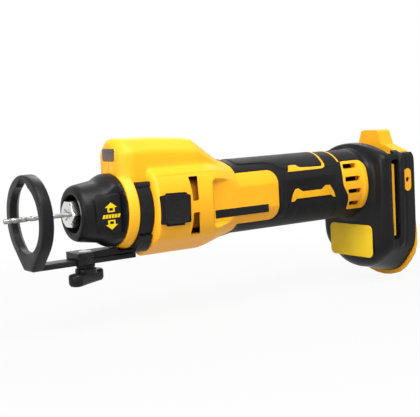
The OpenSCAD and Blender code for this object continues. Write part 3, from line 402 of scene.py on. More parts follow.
@dataclass(frozen=True)
class Moulding(Finish):
    """Moulded plastic or rubber with a spark-eroded grain, pale edges that are rubbed and carry a painted
    highlight, and folds that hold dust and painted shade.
    """

    light: Colour = srgb("FFB61B")
    deep: Colour = srgb("FCAE16")
    # pale colour of the edges: rubbed plastic, and a painted highlight
    bare: Colour = srgb("FFD149")
    # colour in the folds: dust, and painted shade
    dust: Colour = srgb("C0780E")
    rough: float = 0.46
    rough_spread: float = 0.14
    grain_scale: float = 2200.0
    grain_depth: float = 0.05
    grain_strength: float = 0.35
    wear_and_highlight: float = 0.45
    level: float = 0.3
    drift_scale: float = 22.0
    scuff_scale: float = 190.0
    scuff_stretch: Triple = (0.5, 1.0, 1.0)
    scuff_range: Pair = (0.35, 0.7)
    ridge_range: Pair = (0.515, 0.58)
    fold_range: Pair = (0.485, 0.42)
    dust_and_shade_share: float = 0.5
    ridge_shine: float = 0.06

    def paint(self, graph: Graph) -> None:
        """Tone drifts over the piece, edges are rubbed pale and given a painted highlight, and folds hold a little
        dust with painted shade.

        Args:
            graph: Graph of the material.
        """
        drift = graph.grain(self.drift_scale, 3.0)
        speck = graph.grain(self.grain_scale)
        scuff = graph.grain(self.scuff_scale, 7.0, self.scuff_stretch)
        ridge, fold = graph.edges(*self.ridge_range), graph.edges(*self.fold_range)
        tone = graph.blend(drift.between(*TONE_RANGE), self.light, self.deep)
        # edges turn pale: partly rubbed, partly a painted highlight
        rubbed = graph.blend(ridge * self.wear_and_highlight * scuff.between(*self.scuff_range), tone, self.bare)
        # folds take the dust colour, which also paints shade into them
        base = graph.blend(fold * self.dust_and_shade_share, rubbed, self.dust)
        rough = self.rough + (scuff - 0.5) * self.rough_spread - ridge * self.ridge_shine
        graph.surface({"Base Color": base, "Roughness": rough, "Specular IOR Level": self.level,
                       "Normal": graph.bumped(speck, self.grain_depth, self.grain_strength)})


@dataclass(frozen=True)
class Metal(Finish):
    """Machined or stamped metal with tool marks and stained hollows."""

    light: Colour = srgb("E4E4E2")
    deep: Colour = srgb("DADAD8")
    stain: Colour = srgb("4A4846")
    rough: float = 0.26
    marks: Triple = (6.0, 1.0, 1.0)
    marks_scale: float = 420.0
    marks_depth: float = 0.006
    marks_strength: float = 0.12
    drift_scale: float = 25.0
    fold_range: Pair = (0.47, 0.36)
    stain_share: float = 0.2
    rough_spread: float = 0.1

    def paint(self, graph: Graph) -> None:
        """Fine lines left by the tool, a drift in tone and dark hollows.

        Args:
            graph: Graph of the material.
        """
        line = graph.grain(self.marks_scale, 4.0, self.marks)
        drift = graph.grain(self.drift_scale)
        fold = graph.edges(*self.fold_range)
        tone = graph.blend(drift.between(*TONE_RANGE), self.light, self.deep)
        base = graph.blend(fold * self.stain_share, tone, self.stain)
        rough = self.rough + (line - 0.5) * self.rough_spread + fold * self.rough_spread
        graph.surface({"Base Color": base, "Metallic": 1.0, "Roughness": rough,
                       "Normal": graph.bumped(line, self.marks_depth, self.marks_strength)})


@dataclass(frozen=True)
class Stack(Finish):
    """Pressed sheets seen on edge, or wire laid side by side."""

    WAVE: ClassVar[float] = 0.3142  # scale of the wave texture at which a stripe is a metre wide
    light: Colour = srgb("8C8C90")
    deep: Colour = srgb("45454A")
    pitch: float = 0.5
    across: Axis = Axis.X
    metallic: float = 0.9
    rough: float = 0.45

    def paint(self, graph: Graph) -> None:
        """Stripes across one axis, with a stained drift over them.

        Args:
            graph: Graph of the material.
        """
        spot = graph.spot()
        wave = graph.node("ShaderNodeTexWave", {"bands_direction": self.across.name},
                          {"Vector": spot, "Scale": self.WAVE / (self.pitch * MM), "Distortion": 0.4,
                           "Detail": 1.0}, 1)
        drift = graph.grain(120.0, 4.0)
        tone = graph.blend(wave, self.deep, self.light)
        base = graph.blend(drift.between(0.45, 0.8) * 0.4, tone, self.deep)
        graph.surface({"Base Color": base, "Metallic": self.metallic,
                       "Roughness": self.rough + (drift - 0.5) * 0.2,
                       "Normal": graph.bumped(wave, self.pitch * 0.4, 0.6)})


@dataclass(frozen=True)
class Board(Finish):
    """Circuit board with tracks under its lacquer."""

    light: Colour = srgb("2F7A4A")
    deep: Colour = srgb("1B5230")
    track: Colour = srgb("5FA06E")
    cells: float = 380.0

    def paint(self, graph: Graph) -> None:
        """Square cells of lacquer with paler tracks between them.

        Args:
            graph: Graph of the material.
        """
        spot = graph.spot()
        cell = graph.node("ShaderNodeTexVoronoi", {"distance": "MANHATTAN", "feature": "F1"},
                          {"Vector": spot, "Scale": self.cells})
        drift = graph.grain(90.0, 3.0)
        tone = graph.blend(drift, self.light, self.deep)
        base = graph.blend(cell.between(0.42, 0.6), tone, self.track)
        graph.surface({"Base Color": base, "Roughness": 0.32 + drift * 0.2,
                       "Normal": graph.bumped(cell, 0.05, 0.5)})


@dataclass(frozen=True)
class SmokedLens(Finish):
    """Ribbed clear cover with a smoky tint."""

    tint: Colour = srgb("48484C")
    # painted light: warmer, paler colour towards the lens's lower edge
    deep: Colour = srgb("7A5A40")
    low: float = 31.5
    high: float = 38.5
    ribs: float = 260.0

    def paint(self, graph: Graph) -> None:
        """Fine upright ribs, and a grey tint that is painted warmer and paler towards the lower edge, as painted
        light.

        Args:
            graph: Graph of the material.
        """
        spot = graph.spot()
        height = graph.node("ShaderNodeSeparateXYZ", {}, {0: spot}, "Z")
        rib = graph.node("ShaderNodeTexWave", {"bands_direction": "Y"},
                         {"Vector": spot, "Scale": self.ribs, "Distortion": 0.0}, 1)
        drift = graph.grain(160.0, 2.0)
        base = graph.blend(height.between(self.low * MM, self.high * MM), self.deep, self.tint)
        graph.surface({"Base Color": base, "Roughness": 0.14 + drift * 0.12,
                       "Transmission Weight": 0.3, "IOR": 1.49, "Normal": graph.bumped(rib, 0.12, 0.3)})


@dataclass(frozen=True)
class PrintedPlate(Finish):
    """Thin plate of lacquered stock, or ink laid on plastic."""

    light: Colour = srgb("F3CC22")
    deep: Colour = srgb("EBC118")
    edge: Colour = srgb("C98A10")
    rough: float = 0.36
    rough_spread: float = 0.2
    mottle_scale: float = 60.0
    rub_scale: float = 140.0
    grain_scale: float = 1400.0
    fold_range: Pair = (0.49, 0.43)
    edge_share: float = 0.6

    def paint(self, graph: Graph) -> None:
        """A faint mottle, duller rubbed spots and a darker rim.

        Args:
            graph: Graph of the material.
        """
        mottle, rub = graph.grain(self.mottle_scale, 4.0), graph.grain(self.rub_scale, 5.0)
        tone = graph.blend(mottle.between(*TONE_RANGE), self.light, self.deep)
        base = graph.blend(graph.edges(*self.fold_range) * self.edge_share, tone, self.edge)
        graph.surface({"Base Color": base, "Roughness": self.rough + (rub - 0.5) * self.rough_spread,
                       "Specular IOR Level": 0.2,
                       "Normal": graph.bumped(graph.grain(self.grain_scale, 3.0), 0.01, 0.3)})


@dataclass(frozen=True)
class Paints:
    """Finishes of this tool."""

    yellow: Finish = Moulding("yellow_moulding", "yellow_plastic")
    cap: Finish = Moulding("cap_moulding", "yellow_plastic", wear_and_highlight=0.1)
    rubber: Finish = Moulding(
        "grip_rubber", "black_rubber", *tones("1F1F20", "1A1A1B", "343435", "161514"), rough=0.5,
        rough_spread=0.12, grain_scale=1500.0, grain_depth=0.08, grain_strength=0.45, wear_and_highlight=0.5, level=0.07)
    pad: Finish = Moulding(
        "top_pad_rubber", "black_rubber", *tones("232324", "1E1E1F", "38383A", "161514"), rough=0.58,
        rough_spread=0.12, grain_scale=900.0, grain_depth=0.14, grain_strength=0.6, wear_and_highlight=0.5, level=0.09)
    black: Finish = Moulding(
        "black_moulding", "black_plastic", *tones("18181A", "141415", "303031", "121110"), rough=0.36,
        rough_spread=0.12, grain_scale=1800.0, grain_depth=0.05, grain_strength=0.35, wear_and_highlight=0.5, level=0.14)
    steel: Finish = Metal("turned_steel", "steel")
    bit_steel: Finish = Metal(
        "ground_steel", "steel", *tones("AFAFAD", "979795", "3A3836"), rough=0.34, marks=(1.0, 5.0, 5.0),
        marks_scale=520.0)
    cast: Finish = Metal(
        "cast_aluminium", "aluminium", *tones("B9BBBD", "8F9193", "4E4E50"), rough=0.42, marks=(1.0, 1.0, 1.0),
        marks_scale=900.0, marks_depth=0.06)
    iron: Finish = Stack("stacked_iron", "iron")
    copper: Finish = Stack("wound_copper", "copper", *tones("C77B43", "7E4420"), pitch=0.7, rough=0.34)
    brass: Finish = Metal(
        "plated_blades", "copper", *tones("D8B98A", "B08C58", "5A4426"), rough=0.24, marks=(1.0, 1.0, 6.0),
        marks_scale=500.0)
    board: Finish = Board("circuit_board", "board")
    felt: Finish = Moulding(
        "sealing_felt", "felt", *tones("6A655C", "4E4A43", "857F73", "3A3732"), rough=0.9, rough_spread=0.1,
        grain_scale=700.0, grain_depth=0.3, grain_strength=0.9, wear_and_highlight=0.3, level=0.2)
    red_wire: Finish = Moulding(
        "red_lead", "copper", *tones("A31F1B", "86150F", "C4514A", "4A0E0B"), rough=0.4, rough_spread=0.1,
        grain_scale=900.0, grain_depth=0.04, grain_strength=0.3)
    black_wire: Finish = Moulding(
        "black_lead", "copper", *tones("1E1E20", "161618", "3A3A3C", "242321"), rough=0.4, rough_spread=0.1,
        grain_scale=900.0, grain_depth=0.04, grain_strength=0.3)
    lens: Finish = SmokedLens("smoked_lens", "lens")
    plate: Finish = PrintedPlate("bare_plate", "label")
    badge: Finish = PrintedPlate("bare_badge", "label", *tones("F3B416", "E7A60F", "A86A0A"))
    strip: Finish = PrintedPlate("black_strip", "label", *tones("0C0C0D", "09090A", "161617"), rough=0.5)
    # darker yellow: the seam line's dark joint, and painted shade on the baffle behind the exhaust slots
    shade: Finish = PrintedPlate("seam_and_painted_shade", "yellow_plastic", *tones("A8700F", "98640C", "6E4808"), rough=0.6)
    mark: Finish = PrintedPlate("yellow_mark", "label", *tones("F5CE14", "EBC210", "B8900C"), rough=0.4)


PAINTS = Paints()


# ---------------------------------------------------------------- meshes


class Solid:
    """Points and faces of a piece, in millimetres, while it is being made."""

    JOIN_GAP = 2e-7  # metres between points that become one
    CORE_SHARE = 0.04  # size of a plate's innermost ring
    EDGE_STEPS = 5  # rows over a plate's round edge

    def __init__(self) -> None:
        """Starts with nothing."""
        self.points: list[Array] = []
        self.faces: list[tuple[int, ...]] = []
        self.total = 0

    def add(self, points: Array) -> Array:
        """Adds points.

        Args:
            points: Array whose last axis holds X, Y and Z.

        Returns:
            Number of each point, in the same layout.
        """
        flat = np.asarray(points, float).reshape(-1, 3)
        numbers = np.arange(self.total, self.total + len(flat)).reshape(np.shape(points)[:-1])
        self.points.append(flat)
        self.total += len(flat)
        return numbers

    def skin(self, numbers: Array, around: bool = False) -> None:
        """Covers a grid of points with four-sided faces.

        Args:
            numbers: Grid of point numbers.
            around: Whether the last column joins the first.
        """
        grid = np.concatenate([numbers, numbers[:, :1]], axis=1) if around else numbers
        quads = np.stack([grid[:-1, :-1], grid[:-1, 1:], grid[1:, 1:], grid[1:, :-1]], axis=-1)
        self.faces.extend(map(tuple, quads.reshape(-1, 4).tolist()))

    def loft(self, rings: Array) -> "Solid":
        """Adds a closed solid through a row of rings.

        Args:
            rings: Points, by ring.

        Returns:
            The solid.
        """
        numbers = self.add(rings)
        self.skin(numbers, around=True)
        self.faces.append(tuple(numbers[0][::-1].tolist()))
        self.faces.append(tuple(numbers[-1].tolist()))
        return self

    def loop(self, rings: Array) -> "Solid":
        """Adds a solid whose last ring joins its first.

        Args:
            rings: Points, by ring.

        Returns:
            The solid.
        """
        numbers = self.add(rings)
        self.skin(np.concatenate([numbers, numbers[:1]]), around=True)
        return self

    def shell(self, outer: Array, inner: Array) -> "Solid":
        """Adds half a shell, from its outside and its inside.

        Args:
            outer: Outside points, by station and angle.
            inner: Inside points in the same layout.

        Returns:
            The solid.
        """
        out, back = self.add(outer), self.add(inner)
        self.skin(out)
        self.skin(back[:, ::-1])
        for edge in (np.stack([back[0], out[0]]), np.stack([out[-1], back[-1]]),
                     np.stack([out[:, 0], back[:, 0]]), np.stack([back[:, -1], out[:, -1]])):
            self.skin(edge)
        return self

    def prism(self, outline: Array, axis: Axis, low: float, high: float) -> "Solid":
        """Adds an outline raised along an axis.

        Args:
            outline: Points in the two other axes, in their order.
            axis: Axis to raise along.
            low: Start on that axis.
            high: End on that axis.

        Returns:
            The solid.
        """
        rings = [np.insert(outline, axis.value, place, axis=1) for place in (low, high)]
        return self.loft(np.array(rings))

    def plate(self, outline: Array, lift: Callable[[Array, Array], Array], depth: float, edge: float,
              rings: int) -> "Solid":
        """Adds a plate on the photographed side, drawn in X and Z, whose face follows a height.

        Args:
            outline: Counter-clockwise outline that its middle can see.
            lift: Gives the face's distance from the middle plane at X and Z.
            depth: Thickness.
            edge: Radius of the face's edge.
            rings: Number of rings from the rim to the middle.

        Returns:
            The solid.
        """
        middle = outline.mean(axis=0)
        shares = np.linspace(self.CORE_SHARE, 1, rings)
        rows = [(mix(middle, outline, share), depth) for share in shares]
        for turn in np.radians(np.linspace(0, 90, self.EDGE_STEPS)):
            rows.append((grown(outline, -edge * (1 - math.cos(turn))), edge * (1 - math.sin(turn))))
        rim = rows[-1][0]
        rows.extend((mix(middle, rim, share), 0.0) for share in shares[-2::-1])
        return self.loft(np.array([np.stack([p[:, 0], sunk - lift(p[:, 0], p[:, 1]), p[:, 1]], -1)
                                   for p, sunk in rows]))

    def mirrored(self) -> "Solid":
        """The same piece for the other side.

        Returns:
            The twin.
        """
        twin = Solid()
        twin.points = [p * np.array((1.0, -1.0, 1.0)) for p in self.points]
        twin.faces = [f[::-1] for f in self.faces]
        twin.total = self.total
        return twin

    def on(self, side: Side) -> "Solid":
        """The piece, drawn on the photographed side, for a side."""
        return self if side is Side.LEFT else self.mirrored()

    def piece(self, name: str) -> bpy.types.Object:
        """Object of this solid, in metres.

        Args:
            name: Name of the object.

        Returns:
            The object, linked to the scene.
        """
        mesh = bpy.data.meshes.new(name)
        mesh.from_pydata((np.concatenate(self.points) * MM).tolist(), [], self.faces)
        work = bmesh.new()
        work.from_mesh(mesh)
        bmesh.ops.remove_doubles(work, verts=work.verts, dist=self.JOIN_GAP)
        bmesh.ops.recalc_face_normals(work, faces=work.faces)
        work.to_mesh(mesh)
        work.free()
        return placed(name, mesh)


class Bench:
    """Work that is done on a finished mesh."""

    WELD_GAP = 2e-6  # metres between points that a kept node joins
    FLAT_TURN = math.radians(1.0)  # folds under this are flat
    EDGE_TURN = math.radians(38.0)  # folds over this are edges to round
    EDGE_STEPS = 3  # rows over a rounded edge

    @staticmethod
    def carve(piece: bpy.types.Object, cutters: Iterable[Solid], folded: bool = False) -> None:
        """Cuts solids out of a piece.

        Args:
            piece: Piece to cut.
            cutters: What is taken away, one after the other.
            folded: Whether the piece has tight corners whose edge rows may cross.
        """
        for cutter in cutters:
            tool = cutter.piece("cutter")
            step = piece.modifiers.new("carve", "BOOLEAN")
            step.operation, step.solver, step.object = "DIFFERENCE", "EXACT", tool
            step.use_self = folded
            solved = piece.evaluated_get(bpy.context.evaluated_depsgraph_get())
            made = bpy.data.meshes.new_from_object(solved)
            piece.modifiers.clear()
            old, piece.data = piece.data, made
            made.name = piece.name
            bpy.data.meshes.remove(old)
            bpy.data.meshes.remove(tool.data)

    @staticmethod
    def dress(piece: bpy.types.Object, finish: Finish, body: str, replaces: Sequence[str] = (),
              sharp: float = 35.0) -> None:
        """Gives a piece its finish, its shading and the body that it rides on.

        Args:
            piece: Piece that is in place.
            finish: What it is made of.
            body: Body of the CAD model that carries it.
            replaces: CAD nodes that it stands for.
            sharp: Fold, in degrees, past which an edge stays sharp.
        """
        piece.data.materials.clear()
        piece.data.materials.append(finish.material())
        piece.data.shade_smooth()
        piece.data.set_sharp_from_angle(angle=math.radians(sharp))
        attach(piece, body)
        if replaces:
            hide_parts(*replaces)
        LOG.info("made %s on %s, %d faces", piece.name, body, len(piece.data.polygons))

    @staticmethod
    def keep(node: str, finish: Finish, edge: float = 0.0) -> None:
        """Keeps a CAD node, with a finish and softened edges.

        Args:
            node: Name of the node.
            finish: What it is made of.
            edge: Radius of its edges in millimetres; 0 leaves them as they are.
        """
        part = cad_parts[node]
        if not part.material_slots:
            part.data.materials.append(finish.material())
        for place in part.material_slots:
            place.material = finish.material()
        if edge:
            weld = part.modifiers.new("weld", "WELD")
            weld.merge_threshold = Bench.WELD_GAP
            flat = part.modifiers.new("flat", "DECIMATE")
            flat.decimate_type, flat.angle_limit = "DISSOLVE", Bench.FLAT_TURN
            soft = part.modifiers.new("edges", "BEVEL")
            soft.width, soft.segments = edge * MM, Bench.EDGE_STEPS
            soft.limit_method, soft.angle_limit = "ANGLE", Bench.EDGE_TURN
            part.modifiers.new("shade", "WEIGHTED_NORMAL")
        LOG.info("kept %s", node)


# ---------------------------------------------------------------- the moulded body


@dataclass(frozen=True)
class BodyForm:
    """Stations and curves of the moulded body, as in the CAD source."""

    x_nose: float = -242.95
    x_neck: float = -236.45
    x_shoulder: float = -226.45
    x_slope: float = -184.95
    x_taper: float = -181.45
    x_panel: float = -185.6
    panel_run: float = 7.0
    x_skin: float = -157.45
    x_taper_rear: float = -154.45
    x_tongue: float = -123.95
    x_throat: float = -43.95
    barrel_half_w: float = 31.0
    barrel_half_h: float = 32.4
    box_power: float = 30.0
    neck_r: float = 24.1
    grip_r: float = 25.5
    flange_edge: float = 0.7
    tower_top: float = 45.0
    tower_half: float = 18.0
    x_crest: float = -219.0
    crest_fall: float = 2.6
    slope_top: float = 42.1
    slope_rate: float = 0.75
    ledge: float = 0.5
    ledge_turn: float = 50.3
    ledge_soft: float = 0.7
    pocket_z: Pair = (-14.2, 12.8)
    panel_y: float = 24.3
    skin: float = 2.0
    wall: float = 3.0
    flange_r: Pair = (24.2, 26.1)
    shoulder_run: float = 3.0
    box_corner: Pair = (0.79, 0.65)
    box_peak: float = 1.05
    box_bow: float = 1.065
    box_cap: float = 1.03
    crest_lift: float = 0.3
    crest_curve: float = 1.3
    crest_power: float = 60.0
    slope_low: float = 14.0
    brow: Pair = (5.0, 6.0)
    cheek: Pair = (10.0, 10.0)
    tower_rear: float = 0.72
    tower_corner: float = 0.86
    tower_power: float = 40.0
    body_power: float = 34.0
    panel_power: float = 90.0
    panel_far: float = 400.0
    panel_soft: float = 1.3
    seam_depth: float = 0.3
    seam_half: float = 0.28

    def shoulder(self, x: Array) -> Array:
        """Share of the way over the shoulder behind the neck."""
        return ramp(x, self.x_shoulder, self.x_shoulder + self.shoulder_run)

    def taper(self, x: Array) -> Array:
        """Share of the way from the barrel to the grip."""
        return ease(ramp(x, self.x_taper, self.x_taper_rear))

    def front_edge(self, x: Array, fall: float, run: float) -> Array:
        """Depth of a round edge at the nose, which falls by a height within a run."""
        return fall * (1 - rise(ramp(x, self.x_nose, self.x_nose + run)))

    def round_half(self, x: Array, full: float) -> Array:
        """Half size of the round body.

        Args:
            x: Stations.
            full: Half size of the barrel.

        Returns:
            Half size at each station.
        """
        flange = mix(*self.flange_r, ramp(x, self.x_nose, self.x_neck))
        front = self.front_edge(x, self.flange_edge, self.flange_edge)
        back = self.flange_edge * (1 - rise(ramp(-x, -self.x_neck, self.flange_edge - self.x_neck)))
        core = mix(full, self.grip_r, self.taper(x))
        behind = np.where(x < self.x_shoulder, self.neck_r, mix(self.neck_r, core, rise(self.shoulder(x))))
        return np.where(x < self.x_neck, flange - front - back, behind)

    def box_r(self, w: Array, h: Array, a: Array) -> Array:
        """Section with bowed sides, and slopes from their shoulders to the middle.

        Args:
            w: Half width.
            h: Half height.
            a: Angles from the top.

        Returns:
            Distance from the axis.
        """
        c, s = np.abs(np.cos(a)), np.abs(np.sin(a))
        y1, z1, top = self.box_corner[0] * w, self.box_corner[1] * h, self.box_peak * h
        bow = np.sqrt((s / w) ** 2 + (c / (self.box_bow * h)) ** 2)
        roof = (s * (top - z1) + c * y1) / (y1 * top)
        return 1 / joined(self.box_power, bow, roof, c / (self.box_cap * h))

    def round_r(self, x: Array, a: Array) -> Array:
        """Distance of the barrel, neck and grip from the axis.

        Args:
            x: Stations.
            a: Angles from the top.

        Returns:
            Distance at each place.
        """
        w, h = self.round_half(x, self.barrel_half_w), self.round_half(x, self.barrel_half_h)
        boxed = self.shoulder(x) * (1 - self.taper(x))
        turn = np.degrees(np.abs(a))
        fall = ease(ramp(turn, self.ledge_turn - self.ledge_soft, self.ledge_turn + self.ledge_soft))
        plain = ((np.sin(a) / w) ** 2 + (np.cos(a) / h) ** 2) ** -0.5
        return mix(plain, self.box_r(w, h, a), boxed) + self.ledge * boxed ** 4 * (1 - fall)

    def tower_r(self, x: Array, a: Array) -> Array:
        """Distance of the lamp tower's sides from the axis; nothing below the axis.

        Args:
            x: Stations.
            a: Angles from the top.

        Returns:
            Distance at each place.
        """
        fallen = self.crest_fall * ramp(x, self.x_crest, self.x_slope) ** self.crest_curve
        crest = self.tower_top + self.crest_lift - fallen
        slope = np.maximum(self.slope_low, self.slope_top - self.slope_rate * (x - self.x_slope))
        high = joined(-self.crest_power, crest, slope) - self.front_edge(x, *self.brow)
        wide = mix(self.tower_half, self.tower_half * self.tower_rear, ramp(x, self.x_slope, self.x_skin))
        wide = wide - self.front_edge(x, *self.cheek)
        c, s = np.maximum(np.cos(a), TINY), np.abs(np.sin(a))
        slant = (high + wide) * math.sqrt(0.5) * self.tower_corner
        r = 1 / joined(self.tower_power, c / high, s / wide, (c + s) * math.sqrt(0.5) / slant)
        return np.where(np.cos(a) > 0, r, 0.0)

    def body_r(self, x: Array, a: Array) -> Array:
        """Distance of the whole body from the axis."""
        return joined(self.body_power, self.round_r(x, a), self.tower_r(x, a))

    def panel_r(self, x: Array, a: Array) -> Array:
        """Distance of the body with its flat side panels.

        Args:
            x: Stations.
            a: Angles from the top.

        Returns:
            Distance at each place.
        """
        sunk = ease(ramp(x, self.x_panel, self.x_panel + self.panel_run))
        flat = mix(self.barrel_half_w + 1.0, self.panel_y, sunk)
        body, side = self.body_r(x, a), np.minimum(flat / np.maximum(np.sin(a), TINY), self.panel_far)
        inside = bump_between(side * np.cos(a), *self.pocket_z, self.panel_soft)
        return mix(body, joined(-self.panel_power, body, side), inside)

    def seam(self, r: Array, a: Array) -> Array:
        """Depth of the groove where the halves meet."""
        return self.seam_depth * np.exp(-((r * np.sin(a)) / self.seam_half) ** 2)

    @staticmethod
    def angles(step: float) -> Array:
        """Angles from the top down one side, closer together near the seam.

        Args:
            step: Gap between them, in degrees.

        Returns:
            Angles in radians.
        """
        hem = np.array([0.0, 0.2, 0.42, 0.7, 1.1])
        body = np.concatenate([np.arange(1.6, 60.0, step), np.arange(60.0, 178.4, step)])
        return np.radians(np.concatenate([hem, body, 180.0 - hem[::-1]]))

    @staticmethod
    def place(x: Array, r: Array, a: Array) -> Array:
        """Points at stations, distances and angles, on the photographed side."""
        x, r, a = np.broadcast_arrays(x, r, a)
        return np.stack([x, -r * np.sin(a), r * np.cos(a)], -1)

    def side_y(self, x: Array, z: Array) -> Array:
        """Distance of the round grip's surface from the middle plane, at X and Z."""
        return np.sqrt(np.maximum(0.0, self.grip_r ** 2 - z ** 2)) + 0 * x


@dataclass
class Housing:
    """Two yellow halves with the lamp tower, the side panels and the louvres."""

    form: BodyForm = field(default_factory=BodyForm)
    button: Outline = (
        (-224.3, -10.0), (-220.6, -10.3), (-219.8, -11.6), (-207.4, -11.8), (-206.6, -10.6), (-202.2, -10.3),
        (-201.7, 7.2), (-204.2, 8.0), (-205.0, 9.2), (-219.6, 9.6), (-220.4, 8.6), (-224.5, 8.2))
    exhaust: tuple[Span, ...] = ((-199.8, -194.5, 2.6, 18.4), (-199.8, -194.5, -19.6, -4.7))
    exhaust_corner: float = 0.9
    exhaust_flare: Outline = ((-40.0, 0.0), (-29.2, 0.0), (-21.0, 5.0))
    baffle_x: Pair = (-201.5, -187.5)
    baffle_turn: Pair = (52.0, 129.0)
    baffle_r: float = 26.0
    baffle_deep: float = 6.0
    baffle_wall: float = 0.8
    lamp: Span = (-8.0, 8.0, 30.95, 39.05)
    lamp_corner: float = 1.6
    screws: Outline = ((-213.05, -27.2), (-201.2, 32.3))
    well_r: float = 2.95
    well_y: Pair = (4.0, 40.0)
    sleeve_r: Pair = (2.96, 3.9)
    sleeve_seat: float = 5.9
    sleeve_y: float = 18.0
    sleeve_share: float = 0.55
    bore_r: float = 15.0
    under_skin: float = 0.25
    tongue_z: Pair = (-17.6, 17.0)
    tongue_r: float = 6.0
    louvre: Outline = (
        (-57.6, -16.6), (-56.6, -17.7), (-48.0, -17.9), (-40.4, -17.9), (-40.8, -6.0), (-41.2, 6.0),
        (-40.2, 14.0), (-43.0, 17.9), (-50.0, 17.9), (-60.4, 17.9), (-61.8, 17.0), (-64.4, 8.5),
        (-64.8, 1.0), (-62.5, -3.0), (-59.8, -6.6), (-58.6, -11.0))
    louvre_slots: tuple[tuple[float, float, float, float, float], ...] = (
        (12.4, 16.0, -62.0, -60.7, -47.6), (3.2, 6.9, -62.9, -62.4, -47.6),
        (-5.6, -2.3, -59.4, -60.8, -47.2), (-14.7, -11.5, -56.4, -57.9, -46.8))
    louvre_lift: float = 0.15
    louvre_kick: float = 0.7
    louvre_kick_x: Pair = (-46.0, -43.5)
    seam_line: Span = (-0.14, 0.14, 25.6, 30.7)
    strip: Span = (-178.4, -133.6, -11.3, -5.8)

    def stations(self) -> Array:
        """Stations along the axis, close together at edges.

        Returns:
            Stations, in order.
        """
        f = self.form
        quarter = 1 - np.cos(np.linspace(0, np.pi / 2, 13))
        return np.unique(np.concatenate([
            f.x_nose + 10.0 * quarter, f.x_nose + f.flange_edge * quarter[:7],
            [f.x_nose + f.wall - 0.01, f.x_nose + f.wall],
            f.x_neck - f.flange_edge * quarter[:10:2], [f.x_neck - 0.004, f.x_neck, f.x_shoulder - 0.004],
            f.x_shoulder + f.shoulder_run * quarter, np.arange(f.x_shoulder + 4.0, f.x_slope - 2.0, 1.6),
            np.linspace(f.x_slope - 7.0, f.x_slope + 5.0, 13), np.linspace(f.x_panel, f.x_panel + f.panel_run, 15),
            np.arange(f.x_panel + f.panel_run + 1.0, f.x_skin - 0.5, 1.3),
            [f.x_skin - 0.004, f.x_skin], np.arange(f.x_skin + 3.0, f.x_throat, 6.0), [f.x_throat]]))

    def half(self) -> Solid:
        """One half of the shell before its openings.

        Returns:
            The half, on the photographed side.
        """
        f = self.form
        x, a = self.stations()[:, None], f.angles(1.0)[None, :]
        body = f.panel_r(x, a)
        out = np.where(x < f.x_skin, body, f.body_r(x, a) - f.skin - self.under_skin)
        inner = np.where(x < f.x_nose + f.wall, self.bore_r, out - f.wall)
        return Solid().shell(f.place(x, out - f.seam(out, a), a), f.place(x, inner, a))

    def openings(self, side: Side) -> list[Solid]:
        """What is cut out of a half.

        Args:
            side: Side that the half is for.

        Returns:
            Cutters.
        """
        f = self.form
        lamp = rounded(*self.lamp, self.lamp_corner)
        cuts = [Solid().prism(lamp, Axis.X, f.x_nose - 2, f.x_nose + f.wall + 2),
                Solid().prism(smoothed(self.button, 2, 0.07), Axis.Y, *SIDE_CUT).on(side)]
        for x0, x1, low, high in self.exhaust:
            rows = [np.insert(rounded(x0, x1 + flare, low, high, self.exhaust_corner, 5), 1, y, axis=1)
                    for y, flare in self.exhaust_flare]
            cuts.append(Solid().loft(np.array(rows)).on(side))
        cuts.extend(self.slots(side))
        if side is Side.RIGHT:
            cuts.extend(self.wells(self.screws))
        return cuts

    def slots(self, side: Side) -> list[Solid]:
        """Cutters of the louvre's slots.

        Args:
            side: Side that the cutters are for.

        Returns:
            Cutters.
        """
        made = []
        for low, high, left_low, left_high, right in self.louvre_slots:
            outline = smoothed(((left_low, low), (right, low), (right, high), (left_high, high)), 2, 0.1)
            made.append(Solid().prism(outline, Axis.Y, *SIDE_CUT).on(side))
        return made

    def wells(self, places: Outline) -> list[Solid]:
        """Cutters over the heads of the case screws."""
        return [Solid().prism(circle(self.well_r, WELL_TURN) + place, Axis.Y, *self.well_y) for place in places]

    def sleeve(self, place: Pair, top: float) -> Solid:
        """Tube round a screw's well, from its seat to the wall.

        Args:
            place: Middle of the well, in X and Z.
            top: Y where the tube ends.

        Returns:
            The tube.
        """
        hole, rim = self.sleeve_r
        rows = ((hole, top), (hole, self.sleeve_seat), (rim, self.sleeve_seat), (rim, top))
        return Solid().loop(np.array([np.insert(circle(r, WELL_TURN) + place, 1, y, axis=1) for r, y in rows]))

    def tongue(self) -> Solid:
        """Side panel's tongue, which reaches into the rubber.

        Returns:
            The tongue, on the photographed side.
        """
        f = self.form
        outline = denser(rounded(f.x_skin - 6.0, f.x_tongue, *self.tongue_z, self.tongue_r, 12), 1.2)
        return Solid().plate(outline, lambda x, z: np.minimum(f.panel_y, f.side_y(x, z) + 0.02),
                             depth=3.0, edge=0.5, rings=22)

    def grille_y(self, x: Array, z: Array) -> Array:
        """Distance of the louvres' frame from the middle plane, which kicks up at its rear."""
        return self.form.side_y(x, z) + self.louvre_lift + self.louvre_kick * ramp(x, *self.louvre_kick_x)

    def grille(self) -> Solid:
        """Yellow frame of the louvres, before its slots."""
        outline = denser(smoothed(self.louvre, 2, 0.2), 1.0)
        return Solid().plate(outline, self.grille_y, depth=3.6, edge=0.25, rings=18)

    def baffle(self) -> Solid:
        """Curved wall behind the exhaust slots.

        Returns:
            The wall, on the photographed side.
        """
        f = self.form
        x, a = np.linspace(*self.baffle_x, 15)[:, None], np.radians(np.arange(*self.baffle_turn, 2.0))[None, :]
        r = np.minimum(f.body_r(x, a) - self.baffle_deep, self.baffle_r)
        return Solid().shell(f.place(x, r, a), f.place(x, r - self.baffle_wall, a))

    def label(self) -> Solid:
        """Plain black strip on a side panel."""
        outline = denser(rounded(*self.strip, 0.5, 4), 1.5)
        return Solid().plate(outline, lambda x, z: self.form.panel_y + 0.1 + 0 * x, depth=0.4, edge=0.08, rings=8)

